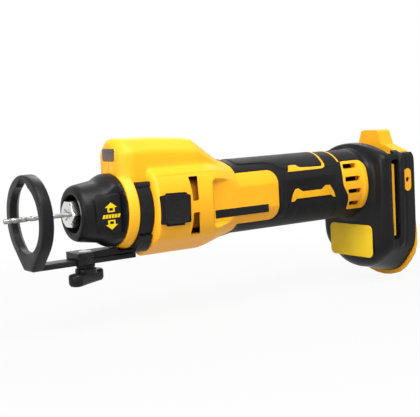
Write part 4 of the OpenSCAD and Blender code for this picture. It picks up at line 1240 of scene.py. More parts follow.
    def build(self) -> None:
        """Makes both halves, their panels, grilles and strips."""
        f = self.form
        line = Solid().prism(rounded(*self.seam_line, 0.05, 2), Axis.X, f.x_nose - 0.03, f.x_nose + 0.8)
        Bench.dress(line.piece("seam_line"), PAINTS.shade, "housing")
        for side in Side:
            half = self.half().on(side).piece(f"housing_{side.tag}_shell")
            Bench.carve(half, self.openings(side))
            Bench.dress(half, PAINTS.yellow, "housing", [f"housing_{side.tag}"], 30.0)
            Bench.dress(self.tongue().on(side).piece(f"side_panel_{side.tag}"), PAINTS.yellow, "housing")
            grille = self.grille().on(side).piece(f"intake_grille_{side.tag}")
            Bench.carve(grille, self.slots(side), True)
            Bench.dress(grille, PAINTS.yellow, "housing")
            # the baffle is dressed in the darker yellow as painted shade inside the barrel
            Bench.dress(self.baffle().on(side).piece(f"exhaust_baffle_{side.tag}"), PAINTS.shade, "housing")
            Bench.dress(self.label().on(side).piece(f"panel_strip_{side.tag}"), PAINTS.strip, "housing")
        for number, (x, z) in enumerate(self.screws):
            top = float(f.body_r(np.array(x), np.array(math.atan2(self.sleeve_y, z)))) * self.sleeve_share
            Bench.dress(self.sleeve((x, z), top).piece(f"screw_well_{number}"), PAINTS.yellow, "housing")
        Bench.keep("housing_screws", PAINTS.steel)


@dataclass
class Grip:
    """Rubber skin over the handle, with its top pad, accents, pocket and badge."""

    form: BodyForm = field(default_factory=BodyForm)
    pocket: Span = (-121.95, -70.95, -8.5, 8.5)
    screws: Outline = ((-140.2, -16.8), (-80.7, -16.8))
    pad_line: Outline = (
        (-152.0, 0.0), (-151.8, 24.0), (-150.6, 28.6), (-147.0, 30.4), (-139.0, 30.4), (-130.0, 31.2),
        (-126.4, 32.6), (-121.2, 37.7), (-117.3, 48.2), (-113.9, 51.3), (-110.8, 46.5), (-109.8, 43.6),
        (-103.4, 43.6), (-101.0, 49.2), (-97.5, 50.0), (-84.0, 50.0), (-81.6, 49.4), (-80.3, 46.0),
        (-79.2, 36.5), (-77.9, 22.0), (-77.1, 0.0))
    pad_edge: Outline = ((0.0, -0.6), (0.0, 0.1), (0.08, 0.3), (0.3, 0.46), (0.7, 0.52))
    accent: tuple[Span, ...] = (
        (-112.9, 55.9, -109.8, 44.0), (-106.0, 55.9, -103.4, 44.0), (-101.2, 55.9, -101.0, 49.6),
        (-96.0, 55.9, -97.5, 50.3), (-84.5, 55.9, -84.0, 51.2), (-81.0, 55.4, -81.4, 51.0),
        (-78.6, 53.2, -79.7, 49.0), (-77.6, 49.0, -79.1, 45.0), (-77.2, 37.5, -78.5, 36.5),
        (-76.7, 23.0, -77.6, 22.6), (-76.5, 12.0, -77.2, 12.0), (-76.4, 0.0, -77.1, 0.0))
    accent_edge: Outline = ((0.0, -0.5), (0.0, 0.45), (0.08, 0.66), (0.92, 0.66), (1.0, 0.45), (1.0, -0.5))
    hoop_turn: float = 46.0
    hoop_width: float = 1.1
    hoop_lift: float = 0.25
    well_top: float = 17.5
    pocket_floor: float = 23.95
    ribs: Span = (-106.0, -71.5, -21.0, -10.6)
    rib_pitch: float = 2.9
    rib_depth: float = 0.34
    lip_rise: float = 0.75
    crease_x: Pair = (-113.0, -74.0)
    crease_rise: float = 0.8
    ring_x: Pair = (-69.6, -68.9)
    ring_depth: float = 0.35
    ring_turn: float = 40.0
    panel_gap: float = 0.35
    x_hoop: float = -63.0
    edge_reach: float = 5.2
    edge_rate: float = 0.15
    ridge: Triple = (4.5, 9.1, 14.4)

    def skin_r(self, x: Array, a: Array) -> Array:
        """Distance of the rubber's surface from the axis, with its hollows and ribs.

        Args:
            x: Stations.
            a: Angles from the top.

        Returns:
            Distance at each place.
        """
        f = self.form
        r = f.body_r(x, a)
        y, z = r * np.sin(a), r * np.cos(a)
        x0, x1, z0, z1 = self.pocket
        hollow = bump_between(x, x0 + 2.0, x1 - 1.0, 2.6) * bump_between(z, z0 + 0.6, z1 - 0.4, 2.0)
        r = mix(r, np.minimum(r, self.pocket_floor / np.maximum(np.sin(a), 0.3)), hollow)
        x0, x1, z0, z1 = self.ribs
        ribs = bump_between(x, x0, x1, 1.5) * bump_between(z, z0, z1, 1.6)
        r = r - self.rib_depth * ribs * (0.5 + 0.5 * np.cos(2 * np.pi * (x - x0) / self.rib_pitch))
        lip = bump_between(x, f.x_tongue + 1.4, f.x_tongue + 5.0, 1.3) * bump_between(z, -13.0, 13.0, 5.0)
        low, mid, high = self.ridge
        crease = np.minimum(ramp(z, low, mid), 1 - ramp(z, mid, high)) * bump_between(x, *self.crease_x, 4.0)
        ring = self.ring_depth * bump_between(x, *self.ring_x, 0.8)
        raised = (self.lip_rise * lip + self.crease_rise * crease) * (y > 0)
        return r + raised - ring * (np.degrees(a) > self.ring_turn)

    def half(self) -> Solid:
        """One half of the skin before its windows.

        Returns:
            The half, on the photographed side.
        """
        f = self.form
        stations = np.unique(np.concatenate([np.arange(f.x_skin + 0.1, f.x_throat, 0.85), [f.x_throat - 0.05]]))
        a = f.angles(1.6)[None, :]
        turn = np.degrees(np.minimum(a, np.pi - a))
        reach = np.minimum(0.0, turn * self.edge_rate - self.edge_reach)
        x = stations[:, None] + reach * (1 - ramp(stations[:, None], f.x_skin, f.x_skin + 10.0))
        r = self.skin_r(x, a) + 0.4 * (1 - ease(ramp(x, f.x_skin - 0.5, f.x_skin + 4.0)))
        inner = f.body_r(x, a) - f.skin - 0.05
        return Solid().shell(f.place(x, r - f.seam(r, a), a), f.place(x, inner, a))

    def windows(self, side: Side) -> list[Solid]:
        """Cutters round the yellow panel and the louvres, and over the screws.

        Args:
            side: Side that the cutters are for.

        Returns:
            Cutters.
        """
        f, gap, housing = self.form, self.panel_gap, Housing()
        low, high = housing.tongue_z
        panel = rounded(f.x_skin - 12.0, f.x_tongue + gap, low - gap, high + gap, housing.tongue_r + gap, 14)
        cuts = [Solid().prism(outline, Axis.Y, *SIDE_CUT).on(side)
                for outline in (panel, grown(smoothed(housing.louvre), gap))]
        return cuts + (housing.wells(self.screws) if side is Side.RIGHT else [])

    def over(self, x: Array, a: Array, lift: float) -> Array:
        """Points a little over the rubber, on the photographed side."""
        return self.form.place(x, self.form.body_r(x, a) + lift, a)

    def pad(self) -> Solid:
        """Raised pad on top of the grip, across both sides.

        Returns:
            The pad.
        """
        half = np.array(self.pad_line)
        line = np.concatenate([half, (half * (1, -1))[::-1][1:-1]])[::-1]
        mean = np.array((line[:, 0].mean(), 0.0))
        shape = denser(line * (1.0, math.radians(self.form.grip_r)), 0.8)
        rows = []
        for inset, lift in self.pad_edge:
            away = shape - mean
            away /= np.linalg.norm(away, axis=1, keepdims=True)
            rows.append((shape - away * inset, lift))
        last = rows[-1][0]
        rows.extend((mean * (1 - t) + last * t, self.pad_edge[-1][1]) for t in np.linspace(1, 0.03, 16)[1:])
        rings = [self.over(p[:, 0], p[:, 1] / self.form.grip_r, lift) for p, lift in rows]
        return Solid().loft(np.array(rings))

    def ribbon(self, line: Array, width: float, lift: float) -> Solid:
        """Narrow band laid on the rubber.

        Args:
            line: Points as X and degrees from the top.
            width: Width of the band.
            lift: Height of its middle over the rubber.

        Returns:
            The band.
        """
        flat = np.array(line) * (1.0, math.radians(self.form.grip_r))
        path: list[Array] = []
        for a, b in zip(flat[:-1], flat[1:]):
            count = max(2, int(np.linalg.norm(b - a) / 0.6))
            path.extend(mix(a, b, t) for t in np.arange(count) / count)
        path.append(flat[-1])
        way = np.array(path)
        for _ in range(3):
            way[1:-1] = (way[:-2] + 2 * way[1:-1] + way[2:]) / 4
        ahead = np.gradient(way, axis=0)
        cross = np.stack([-ahead[:, 1], ahead[:, 0]], -1) / np.linalg.norm(ahead, axis=1, keepdims=True)
        rings = []
        brim = lift * 0.6
        for share, high in ((-0.5, -0.5), (-0.5, brim), (-0.36, lift), (0.36, lift), (0.5, brim), (0.5, -0.5)):
            p = way + cross * share * width
            rings.append(self.over(p[:, 0], p[:, 1] / self.form.grip_r, high))
        return Solid().loft(np.swapaxes(np.array(rings), 0, 1))

    def tail(self) -> Solid:
        """Yellow line round the rear of the pad, across both sides, with a tab at each front end.

        Returns:
            The line.
        """
        half = np.array(self.accent)
        full = np.concatenate([half, (half * (1, -1, 1, -1))[::-1][1:]])
        steps = np.arange(0, len(full) - 1 + 1e-9, 0.125)
        fine = np.stack([np.interp(steps, np.arange(len(full)), column) for column in full.T], -1)
        rings = []
        for share, high in self.accent_edge:
            p = mix(fine[:, :2], fine[:, 2:], share)
            rings.append(self.over(p[:, 0], np.radians(p[:, 1]), high))
        return Solid().loft(np.swapaxes(np.array(rings), 0, 1))

    def accents(self) -> dict[str, Solid]:
        """Yellow lines at the rear of the pad and before the louvres."""
        hoop = np.array([(self.x_hoop, t) for t in np.linspace(-self.hoop_turn, self.hoop_turn, 40)])
        return {"pad_accent": self.tail(), "louvre_hoop": self.ribbon(hoop, self.hoop_width, self.hoop_lift)}

    def build(self) -> None:
        """Makes the rubber skins, the pad and its accents."""
        for side in Side:
            half = self.half().on(side).piece(f"grip_{side.tag}_skin")
            Bench.carve(half, self.windows(side))
            Bench.dress(half, PAINTS.rubber, "housing", [f"grip_{side.tag}"], 40.0)
            Bench.keep(f"badge_{side.tag}", PAINTS.badge, 0.18)
        Bench.dress(self.pad().piece("top_pad"), PAINTS.pad, "housing")
        for name, band in self.accents().items():
            Bench.dress(band.piece(name), PAINTS.yellow, "housing")
        for number, place in enumerate(self.screws):
            sleeve = Housing().sleeve(place, self.well_top)
            Bench.dress(sleeve.piece(f"grip_well_{number}"), PAINTS.black, "housing")


@dataclass
class Foot:
    """Black foot that carries the battery rails, in two halves."""

    x_foot: float = -35.45
    x_rear: float = -2.15
    x_throat: float = -43.95
    half_w: float = 36.0
    top: float = 30.0
    drop: float = 67.0
    grip_r: float = 25.5
    fillet: float = 7.0
    edge: float = 8.0
    low_edge: float = 12.0
    heel: float = 5.5
    x_bay: float = -26.95
    bay_y: float = 33.0
    rail_y: float = 29.0
    x_rail: float = -20.25
    x_rail_rear: float = -14.25
    window: Span = (-25.4, -17.95, -42.9, 17.0)
    window_r: float = 2.6
    anchor: Span = (-9.65, 1.0, 7.0, 17.0)
    anchor_gap: float = 0.15
    power: float = 16.0
    shoulders: tuple[Pair, Pair] = ((0.7, 0.34), (0.72, 0.42))
    rear_edge: float = 0.9
    step: float = 0.4
    lap: float = 0.05
    bay_z: Pair = (-63.0, 60.0)
    bay_corner: Pair = (-15.1, -44.2)
    past_middle: float = 2.0
    band_z: Triple = (-45.0, 18.5, 4.0)
    band_y: Triple = (31.0, 60.0, 3.0)
    bands: tuple[Span, ...] = (
        (1.3, -16.5, -14.5, 1.3), (0.6, -29.8, -29.0, 0.9), (-0.9, -27.9, -17.9, 0.6), (-0.6, -12.6, -11.8, 0.8))
    kept: tuple[tuple[str, Finish, float], ...] = (
        ("rating_plate", PAINTS.plate, 0.25), ("terminal_block", PAINTS.black, 0.3),
        ("terminal_blades", PAINTS.brass, 0.1), ("terminal_cap", PAINTS.cap, 0.95))

    @staticmethod
    def sloped(a: Pair, b: Pair, s: Array, c: Array) -> Array:
        """Reach of a slanted edge through two places, as its share along a direction."""
        ny, nz = abs(b[1] - a[1]), abs(b[0] - a[0])
        return (ny * s + nz * c) / (ny * a[0] + nz * abs(a[1]))

    def outline(self, a: Array) -> Array:
        """Distance of the foot's outline from the axis.

        Args:
            a: Angles from the top.

        Returns:
            Distance at each angle.
        """
        c, s = np.abs(np.cos(a)), np.abs(np.sin(a))
        up = np.cos(a) > 0
        level = np.where(up, c / self.top, c / self.drop)
        high, low = (self.sloped((self.half_w, side * end), (middle * self.half_w, end), s, c)
                     for (side, middle), end in zip(self.shoulders, (self.top, self.drop)))
        return 1 / joined(self.power, s / self.half_w, level, np.where(up, high, low))

    def relief(self, x: Array, y: Array, z: Array) -> Array:
        """Height of the upright bands on the foot's side over its plain wall."""
        tall = bump_between(z, *self.band_z) * bump_between(y, *self.band_y)
        return tall * sum(height * bump_between(x, *band) for height, *band in self.bands)

    def half(self) -> Solid:
        """One half of the foot before its bay.

        Returns:
            The half, on the photographed side.
        """
        form = BodyForm()
        a = form.angles(2.0)
        o = self.outline(a)
        g = o - self.grip_r
        turn = np.degrees(a)
        rf = np.minimum(self.fillet, 0.45 * g)
        ro = np.minimum(mix(self.edge, self.low_edge, ease(ramp(turn, 100.0, 150.0))), 0.45 * g)
        heel = o * self.heel / self.drop * ease(ramp(turn, 142.0, 170.0))
        rows = [(np.full_like(a, self.x_throat), np.full_like(a, self.grip_r))]
        for t in np.radians(np.linspace(0, 90, 9)):
            rows.append((self.x_foot - rf + rf * np.sin(t), self.grip_r + rf - rf * np.cos(t)))
        for t in np.radians(np.linspace(0, 90, 12)):
            rows.append((self.x_foot + self.step + ro - ro * np.cos(t), o - ro + ro * np.sin(t)))
        start, edge = self.x_foot + self.step + ro, self.rear_edge
        for t in np.linspace(0, 1, 48)[1:-1]:
            rows.append((mix(start, self.x_rear - edge, t), o + heel * t))
        for t in np.radians(np.linspace(0, 80, 5)):
            x = self.x_rear - edge + edge * math.sin(t)
            rows.append((np.full_like(a, x), o + heel - edge * (1 - math.cos(t))))
        outer = []
        for x, r in rows:
            lifted = r + self.relief(x, r * np.sin(a), r * np.cos(a)) * (r >= o - 0.01)
            outer.append(form.place(x, lifted - form.seam(r, a), a))
        return Solid().loft(np.array(outer))

    def bay(self, y: float) -> Array:
        """Section of the battery bay, out to a side wall at y."""
        (low, high), (in_y, out_z), past = self.bay_z, self.bay_corner, self.past_middle
        return np.array([(past, high), (-y, high), (-y, out_z), (in_y, low), (past, low)])

    def openings(self) -> list[Solid]:
        """Cutters of the bay, its rails, the side window and the anchor's seat.

        Returns:
            Cutters, on the photographed side.
        """
        x, z, wide, long = self.anchor
        u, v = wide / 2 + self.anchor_gap, long / 2 + self.anchor_gap
        seat = rounded(x - u, x + u, z - v, z + v, wide / 2, 8)
        bays = ((self.bay_y, self.x_bay, self.x_rail + self.lap), (self.rail_y, self.x_rail, self.x_rail_rear),
                (self.bay_y, self.x_rail_rear - self.lap, 3.0))
        return [Solid().prism(self.bay(y), Axis.X, low, high) for y, low, high in bays] + [
            Solid().prism(rounded(*self.window, self.window_r, 8), Axis.Y, -60.0, -30.0),
            Solid().prism(seat, Axis.Y, -60.0, -34.4)]

    def build(self) -> None:
        """Makes both halves, and keeps the small parts that sit on them."""
        for side in Side:
            half = self.half().on(side).piece(f"foot_{side.tag}_half")
            Bench.carve(half, [cut.on(side) for cut in self.openings()])
            Bench.dress(half, PAINTS.black, "housing", [f"foot_{side.tag}"])
            Bench.keep(f"anchor_{side.tag}", PAINTS.yellow, 0.25)
        for node, finish, edge in self.kept:
            Bench.keep(node, finish, edge)


@dataclass
class Collar:
    """Black collar that locks the spindle, with a pad and its signs on each side."""

    x_front: float = -271.45
    x_rear: float = -243.25
    front_r: float = 18.0
    waist_r: float = 19.9
    rear_r: float = 23.5
    x_waist: float = -256.0
    x_flare: float = -247.6
    edge: float = 3.0
    edge_run: float = 4.0
    hole_r: float = 12.2
    flat_y: float = 17.1
    scoop: Pair = (-266.0, -244.0)
    pad: Span = (-263.2, -245.6, -13.4, 12.0)
    pad_y: float = 18.7
    pad_r: float = 3.2
    pad_bend: float = 0.5
    pad_power: float = 30.0
    rear_edge: float = 0.6
    far_y: float = 27.0
    far_r: float = 90.0
    flat_power: float = 36.0
    step: float = 5.0
    bore_r: float = 15.4
    mouth: Outline = ((0.0, 14.2), (0.0, 13.0), (0.15, 12.6))
    sign_x: float = -253.2
    arrow_line: Outline = (
        (4.2, 0.0), (2.5, 0.0), (2.5, -2.9), (-2.5, -2.9), (-2.5, 0.0), (-4.2, 0.0), (0.0, 3.1))
    arrow_z: Pair = (3.4, -7.3)
    lock_size: Pair = (1.3, 0.85)
    lock_in: float = 1.2
    bar_line: Outline = ((0.0, -3.2), (1.6, -3.2), (2.4, -0.9), (0.8, -0.9))
    bar_start: float = 6.4
    bar_pitch: float = 2.1
    bar_count: int = 6

    def plain_r(self, x: Array) -> Array:
        """Distance of the outside from the axis, without the scoops.

        Args:
            x: Stations.

        Returns:
            Distance at each station.
        """
        r = mix(self.front_r, self.waist_r, ramp(x, self.x_front + self.edge, self.x_waist))
        r = r + (self.rear_r - self.waist_r) * ease(ramp(x, self.x_waist - 0.8, self.x_flare))
        r = r - self.edge * (1 - rise(ramp(x, self.x_front, self.x_front + self.edge_run)))
        return r - self.rear_edge * (1 - rise(ramp(-x, -self.x_rear, self.rear_edge - self.x_rear)))

    def outside(self, x: Array, a: Array) -> Array:
        """Distance of the outside from the axis, with the scoops.

        Args:
            x: Stations.
            a: Angles from the top.

        Returns:
            Distance at each place.
        """
        s0, s1 = self.scoop
        dip = ease(ramp(x, s0 - 0.4, s0 + 1.6)) * (1 - ease(ramp(x, s1 - 1.2, s1 + 0.4)))
        flat = mix(self.far_y, self.flat_y, dip) / np.maximum(np.abs(np.sin(a)), 0.05)
        return joined(-self.flat_power, self.plain_r(x), np.minimum(flat, self.far_r))

    def pad_face(self, x: Array, z: Array) -> Array:
        """Distance of a pad's face from the middle plane: flat, and bent where the collar falls away."""
        bent = np.sqrt(np.maximum(1.0, self.plain_r(x) ** 2 - z ** 2)) + self.pad_bend
        return joined(-self.pad_power, bent, self.pad_y)

    def ring(self) -> Solid:
        """The collar, as a ring closed through its bore.

        Returns:
            The ring.
        """
        quarter = 1 - np.cos(np.linspace(0, np.pi / 2, 9))
        s0, s1 = self.scoop
        xs = np.unique(np.concatenate([
            self.x_front + self.edge_run * quarter, np.arange(self.x_front + 4.4, s0 - 0.6, 0.8),
            np.linspace(s0 - 0.5, s0 + 2.0, 9), np.arange(s0 + 2.6, s1 - 1.4, 1.0),
            np.linspace(s1 - 1.3, s1 + 0.6, 8), self.x_rear - self.rear_edge * quarter]))[::-1]
        a = np.radians(np.arange(0, 360, 1.5))
        rows = [(x, self.outside(np.full_like(a, x), a)) for x in xs]
        bore = self.mouth + ((0.6, self.hole_r), (self.step, self.hole_r), (self.step, self.bore_r))
        rows += [(self.x_front + x, np.full_like(a, r)) for x, r in bore]
        rows.append((self.x_rear, np.full_like(a, self.bore_r)))
        return Solid().loop(np.array([BodyForm.place(x, r, a) for x, r in rows]))

    def sign(self, outline: Array, proud: float, deep: float) -> Solid:
        """Thin plate on a pad, from a height over its face to a depth under it."""
        return Solid().prism(outline, Axis.Y, -self.pad_y - proud, -self.pad_y + deep)

    def signs(self) -> dict[str, tuple[Solid, Finish]]:
        """Arrows, locks and the bar of a bit on the pad.

        Returns:
            Signs and their finishes, by name.
        """
        x, (u, v) = self.sign_x, self.lock_size
        made: dict[str, tuple[Solid, Finish]] = {}
        for word, z, way in zip(("up", "down"), self.arrow_z, (1, -1)):
            arrow = (np.array(self.arrow_line) * (1.0, way) + (x, z))[::way]
            made[f"arrow_{word}"] = (self.sign(arrow, 0.05, 0.5), PAINTS.mark)
            middle = z - way * self.lock_in
            lock = rounded(x - u, x + u, middle - v, middle + v, 0.25, 3)
            made[f"lock_{word}"] = (self.sign(lock, 0.1, 0.3), PAINTS.strip)
        for number in range(self.bar_count):
            slant = np.array(self.bar_line) + (x - self.bar_start + number * self.bar_pitch, 0.0)
            made[f"bit_bar_{number}"] = (self.sign(slant, 0.05, 0.4), PAINTS.mark)
        return made

    def build(self) -> None:
        """Makes the collar, its pads and its signs."""
        Bench.dress(self.ring().piece("lock_collar_body"), PAINTS.black, "collar", ["lock_collar"], 40.0)
        outline = denser(rounded(*self.pad, self.pad_r, 8), 1.0)
        for side in Side:
            pad = Solid().plate(outline, self.pad_face, depth=1.5, edge=1.2, rings=14)
            Bench.dress(pad.on(side).piece(f"collar_pad_{side.tag}"), PAINTS.rubber, "collar")
            for name, (sign, finish) in self.signs().items():
                Bench.dress(sign.on(side).piece(f"sign_{name}_{side.tag}"), finish, "collar")


@dataclass
class Buttons:
    """Two switch buttons, one in each side of the barrel."""

    span: Span = (-221.5, -202.8, -10.8, 8.6)
    outline: Outline = (
        (-221.3, -9.3), (-219.0, -10.6), (-207.8, -10.8), (-203.2, -9.5), (-202.8, 6.4), (-205.4, 8.2),
        (-219.2, 8.6), (-221.5, 7.3))
    frame_y: float = 31.45
    top_y: float = 32.0
    dish: float = 0.7
    ripple: float = 0.12
    rim_gap: float = 0.08
    button_gap: float = 0.4

    def face(self, x: Array, z: Array) -> Array:
        """Dished face of a button, as a distance from the middle plane.

        Args:
            x: Places along X.
            z: Places along Z.

        Returns:
            Distance at each place.
        """
        x0, x1, z0, z1 = self.span
        u = (x - (x0 + x1) / 2) / ((x1 - x0) / 2)
        v = (z - (z0 + z1) / 2) / ((z1 - z0) / 2)
        bowl = np.clip(1 - u ** 4, 0, 1) * np.clip(1 - v ** 4, 0, 1)
        wave = self.ripple * np.cos(np.hypot(u * 9, v * 7) * 2.4)
        return self.top_y - self.dish * bowl + wave * bump_between(np.hypot(u, v * 0.8), 0.0, 0.45, 0.15)

    def build(self) -> None:
        """Makes both buttons and their rims, and keeps the switches."""
        shape = smoothed(self.outline, 2, 0.1)
        frame_line = denser(grown(smoothed(Housing().button, 2, 0.07), -self.rim_gap), 0.9)
        hole = Solid().prism(grown(shape, self.button_gap), Axis.Y, -45.0, -20.0)
        for side in Side:
            name = f"button_{side.tag}"
            button = Solid().plate(denser(shape, 0.7), self.face, depth=5.0, edge=0.7, rings=26)
            Bench.dress(button.on(side).piece(f"{name}_cap"), PAINTS.pad, name, [name])
            rim = Solid().plate(frame_line, lambda x, z: self.frame_y + 0 * x, depth=6.0, edge=0.2, rings=8)
            rim_piece = rim.on(side).piece(f"button_rim_{side.tag}")
            Bench.carve(rim_piece, [hole.on(side)], True)
            Bench.dress(rim_piece, PAINTS.black, "housing", [f"button_frame_{side.tag}"])
            Bench.keep(f"switch_{side.tag}", PAINTS.board)


@dataclass
class Spindle:
    """Shaft with its bit, collet and nut, and what turns on it."""

    x_tip: float = -316.45
    x_flute_end: float = -282.85
    x_shank_end: float = -262.0
    bit_r: float = 1.6
    pitch: float = 13.0
    x_nut: float = -274.45
    nut_len: float = 12.0
    nut_half: float = 8.0
    nut_chamfer: Pair = (7.75, 1.55)
    nut_rear_r: float = 8.9
    nut_bore: Outline = ((0.0, 4.6), (0.15, 4.3), (1.4, 2.2), (2.0, 1.75), (3.0, 1.75), (3.0, 5.3))
    flute_deep: float = 0.2
    flute_curve: float = 0.8
    flute_fade: float = 3.0
    tip_share: float = 0.82
    tip_run: float = 0.6

    def nut(self) -> Solid:
        """Hexagon nut with a turned chamfer and a dished hole for the bit.

        Returns:
            The nut.
        """
        a = np.radians(np.arange(0, 360, 3))
        flat = self.nut_half / np.cos((a + np.pi / 6) % (np.pi / 3) - np.pi / 6)
        start, rate = self.nut_chamfer
        bore = self.nut_bore + ((self.nut_len, self.nut_bore[-1][1]),)
        rows = [(self.nut_len, np.minimum(flat, self.nut_rear_r)), (self.nut_len - 0.3, flat)]
        rows += [(x, np.minimum(flat, start + rate * x)) for x in (2.0, 1.0, 0.8, 0.6, 0.4, 0.2, 0.0)]
        rows += [(x, np.full_like(a, r)) for x, r in bore]
        return Solid().loop(np.array([BodyForm.place(self.x_nut + x, r, a) for x, r in rows]))

    def bit(self) -> Solid:
        """Fluted cutting bit with its plain shank.

        Returns:
            The bit.
        """
        turn = np.radians(np.arange(0, 360, 10))
        xs = np.concatenate([np.linspace(self.x_tip, self.x_flute_end, 110),
                             np.linspace(self.x_flute_end + 0.4, self.x_shank_end, 12)])
        rings = []
        for x in xs:
            twist = turn - 2 * np.pi * (x - self.x_tip) / self.pitch
            deep = 1 - ramp(x, self.x_flute_end - self.flute_fade, self.x_flute_end)
            flute = np.clip(np.cos(2 * twist), 0, 1) ** self.flute_curve
            tip = mix(self.tip_share, 1.0, rise(ramp(x, self.x_tip, self.x_tip + self.tip_run)))
            r = self.bit_r * tip * (1 - self.flute_deep * deep * flute)
            rings.append(np.insert(circle(r, turn), 0, x, axis=1))
        return Solid().loft(np.array(rings))

    def build(self) -> None:
        """Makes the bit and the nut, and keeps the turned parts."""
        Bench.dress(self.bit().piece("fluted_bit"), PAINTS.bit_steel, "spindle", ["cutting_bit"], 50.0)
        Bench.dress(self.nut().piece("hex_nut"), PAINTS.steel, "spindle", ["collet_nut"], 20.0)
        for node, edge in (("collet", 0.15), ("spindle", 0.0), ("front_race", 0.0), ("rear_race", 0.0)):
            Bench.keep(node, PAINTS.steel, edge)
        Bench.keep("rotor", PAINTS.iron)
        Bench.keep("fan", PAINTS.black)


@dataclass
class Guide:
    """Depth guide: the clip on the neck, the ring on its bar and the wing knob."""

    x_ring: float = -303.45
    hole_r: float = 21.0
    rim_r: float = 27.1
    point: float = 4.4
    point_turn: float = 24.0
    bar_half: float = 6.3
    bar_top: float = -28.55
    bar_bottom: float = -32.15
    x_bar: float = -297.0
    x_bar_rear: float = -230.45
    slot: Span = (-269.65, -233.05, -2.8, 2.8)
    x_screw: float = -263.85
    wing: Pair = (16.0, 5.5)
    wing_turn: float = 30.0
    wing_waist: float = 0.14
    wing_rows: Outline = (
        (-37.1, 1.7), (-37.4, 0.8), (-37.9, 0.25), (-38.7, 0.0), (-42.9, 0.0), (-44.0, 0.4), (-44.7, 1.1),
        (-45.05, 2.3))
    knob_rows: Outline = (
        (-32.25, 5.9), (-32.5, 6.1), (-34.0, 6.1), (-34.3, 5.6), (-34.9, 5.6), (-35.2, 6.6), (-36.8, 6.9),
        (-38.2, 6.9))
    lip: Outline = (
        (-19.0, 14.2), (-19.0, 17.6), (-22.4, 17.6), (-23.0, 16.6), (-23.0, 14.6), (-22.0, 13.9))
    lip_x: Pair = (-235.9, -226.7)
    heel_x: Pair = (-236.0, -226.7)
    heel_turn: Pair = (127.0, 154.0)
    heel_r: Pair = (28.2, 31.0)
    heel_inner_r: float = 25.6
    section: Outline = (
        (0.5, 0.0), (0.0, 0.08), (0.0, 0.78), (0.12, 0.88), (0.5, 0.96), (1.0, 0.99), (1.6, 1.0),
        (6.7, 1.0), (7.2, 0.98), (7.4, 0.93), (7.4, 0.5), (4.7, 0.0))

    def hoop(self) -> Solid:
        """Ring with a rounded face, a hole pointed at its top and a chin that runs into the bar.

        Returns:
            The ring.
        """
        turn = np.arange(0.0, 360.0, 2.0)
        a, up = np.radians(turn), np.minimum(turn, 360.0 - turn)
        hole = self.hole_r + self.point * (1 - ramp(up, 0.0, self.point_turn))
        low = np.radians(180.0 - up)
        corner = math.atan2(self.bar_half, -self.bar_bottom)
        touch = corner + math.acos(self.rim_r / math.hypot(self.bar_half, self.bar_bottom))
        slant = self.rim_r / np.cos(np.clip(touch - low, 0.0, 1.2))
        rim = np.where(low < corner, -self.bar_bottom / np.cos(low), slant)
        rings = [BodyForm.place(self.x_ring + x, mix(hole, rim, share), a) for x, share in self.section]
        return Solid().loop(np.array(rings))

    def bar(self) -> bpy.types.Object:
        """Slotted bar that carries the ring.

        Returns:
            The bar, linked to the scene.
        """
        section = rounded(-self.bar_half, self.bar_half, self.bar_bottom, self.bar_top, 0.8, 5)
        piece = Solid().prism(section, Axis.X, self.x_bar, self.x_bar_rear).piece("guide_bar")
        Bench.carve(piece, [Solid().prism(rounded(*self.slot, 2.7, 8), Axis.Z, -40.0, -20.0)])
        return piece

    def knob(self) -> Solid:
        """Wing knob: a stepped collar over a long rounded grip.

        Returns:
            The knob.
        """
        turn = np.radians(np.arange(0, 360, 6))
        core = [np.insert(circle(r, turn) + (self.x_screw, 0.0), 2, z, axis=1) for z, r in self.knob_rows]
        u, v = self.wing
        plan = denser(rounded(-u, u, -v, v, v - 0.01, 10), 1.2)
        plan[:, 1] *= 1 - self.wing_waist * (1 - (plan[:, 0] / u) ** 2)
        c, s = math.cos(math.radians(self.wing_turn)), math.sin(math.radians(self.wing_turn))
        rings = []
        for z, inset in self.wing_rows:
            along, across = grown(plan, -inset).T
            place = (self.x_screw + along * c - across * s, along * s + across * c, np.full_like(along, z))
            rings.append(np.stack(place, -1))
        return Solid().loft(np.array(core)).loft(np.array(rings))

    def clip_ends(self) -> dict[str, Solid]:
        """Lip at the top of the clip's band, and the thick heel at its foot.

        Returns:
            Both, by name, on the photographed side.
        """
        lip = smoothed(self.lip, 2, 0.15)[::-1]
        turn = np.radians(np.arange(*self.heel_turn, 2.0))
        outer = mix(*self.heel_r, ease(ramp(turn, turn[0], turn[-1])))
        heel = np.concatenate([np.stack([-r * np.sin(t), r * np.cos(t)], -1)
                               for r, t in ((outer, turn), (self.heel_inner_r, turn[::-1]))])
        return {"lip": Solid().prism(lip, Axis.X, *self.lip_x), "heel": Solid().prism(heel, Axis.X, *self.heel_x)}

    def build(self) -> None:
        """Makes the ring, its bar and the knob, and keeps the clip."""
        for side in Side:
            for name, end in self.clip_ends().items():
                Bench.dress(end.on(side).piece(f"clip_{name}_{side.tag}"), PAINTS.black, "housing")
        Bench.dress(self.hoop().piece("guide_hoop"), PAINTS.black, "guide", ["guide_ring"], 40.0)
        Bench.dress(self.bar(), PAINTS.black, "guide")
        Bench.dress(self.knob().piece("wing_knob"), PAINTS.black, "knob", ["guide_knob"], 40.0)
        Bench.keep("guide_clip", PAINTS.black, 0.6)
        Bench.keep("clamp_nut", PAINTS.steel, 0.2)
        Bench.keep("clamp_screw", PAINTS.steel)


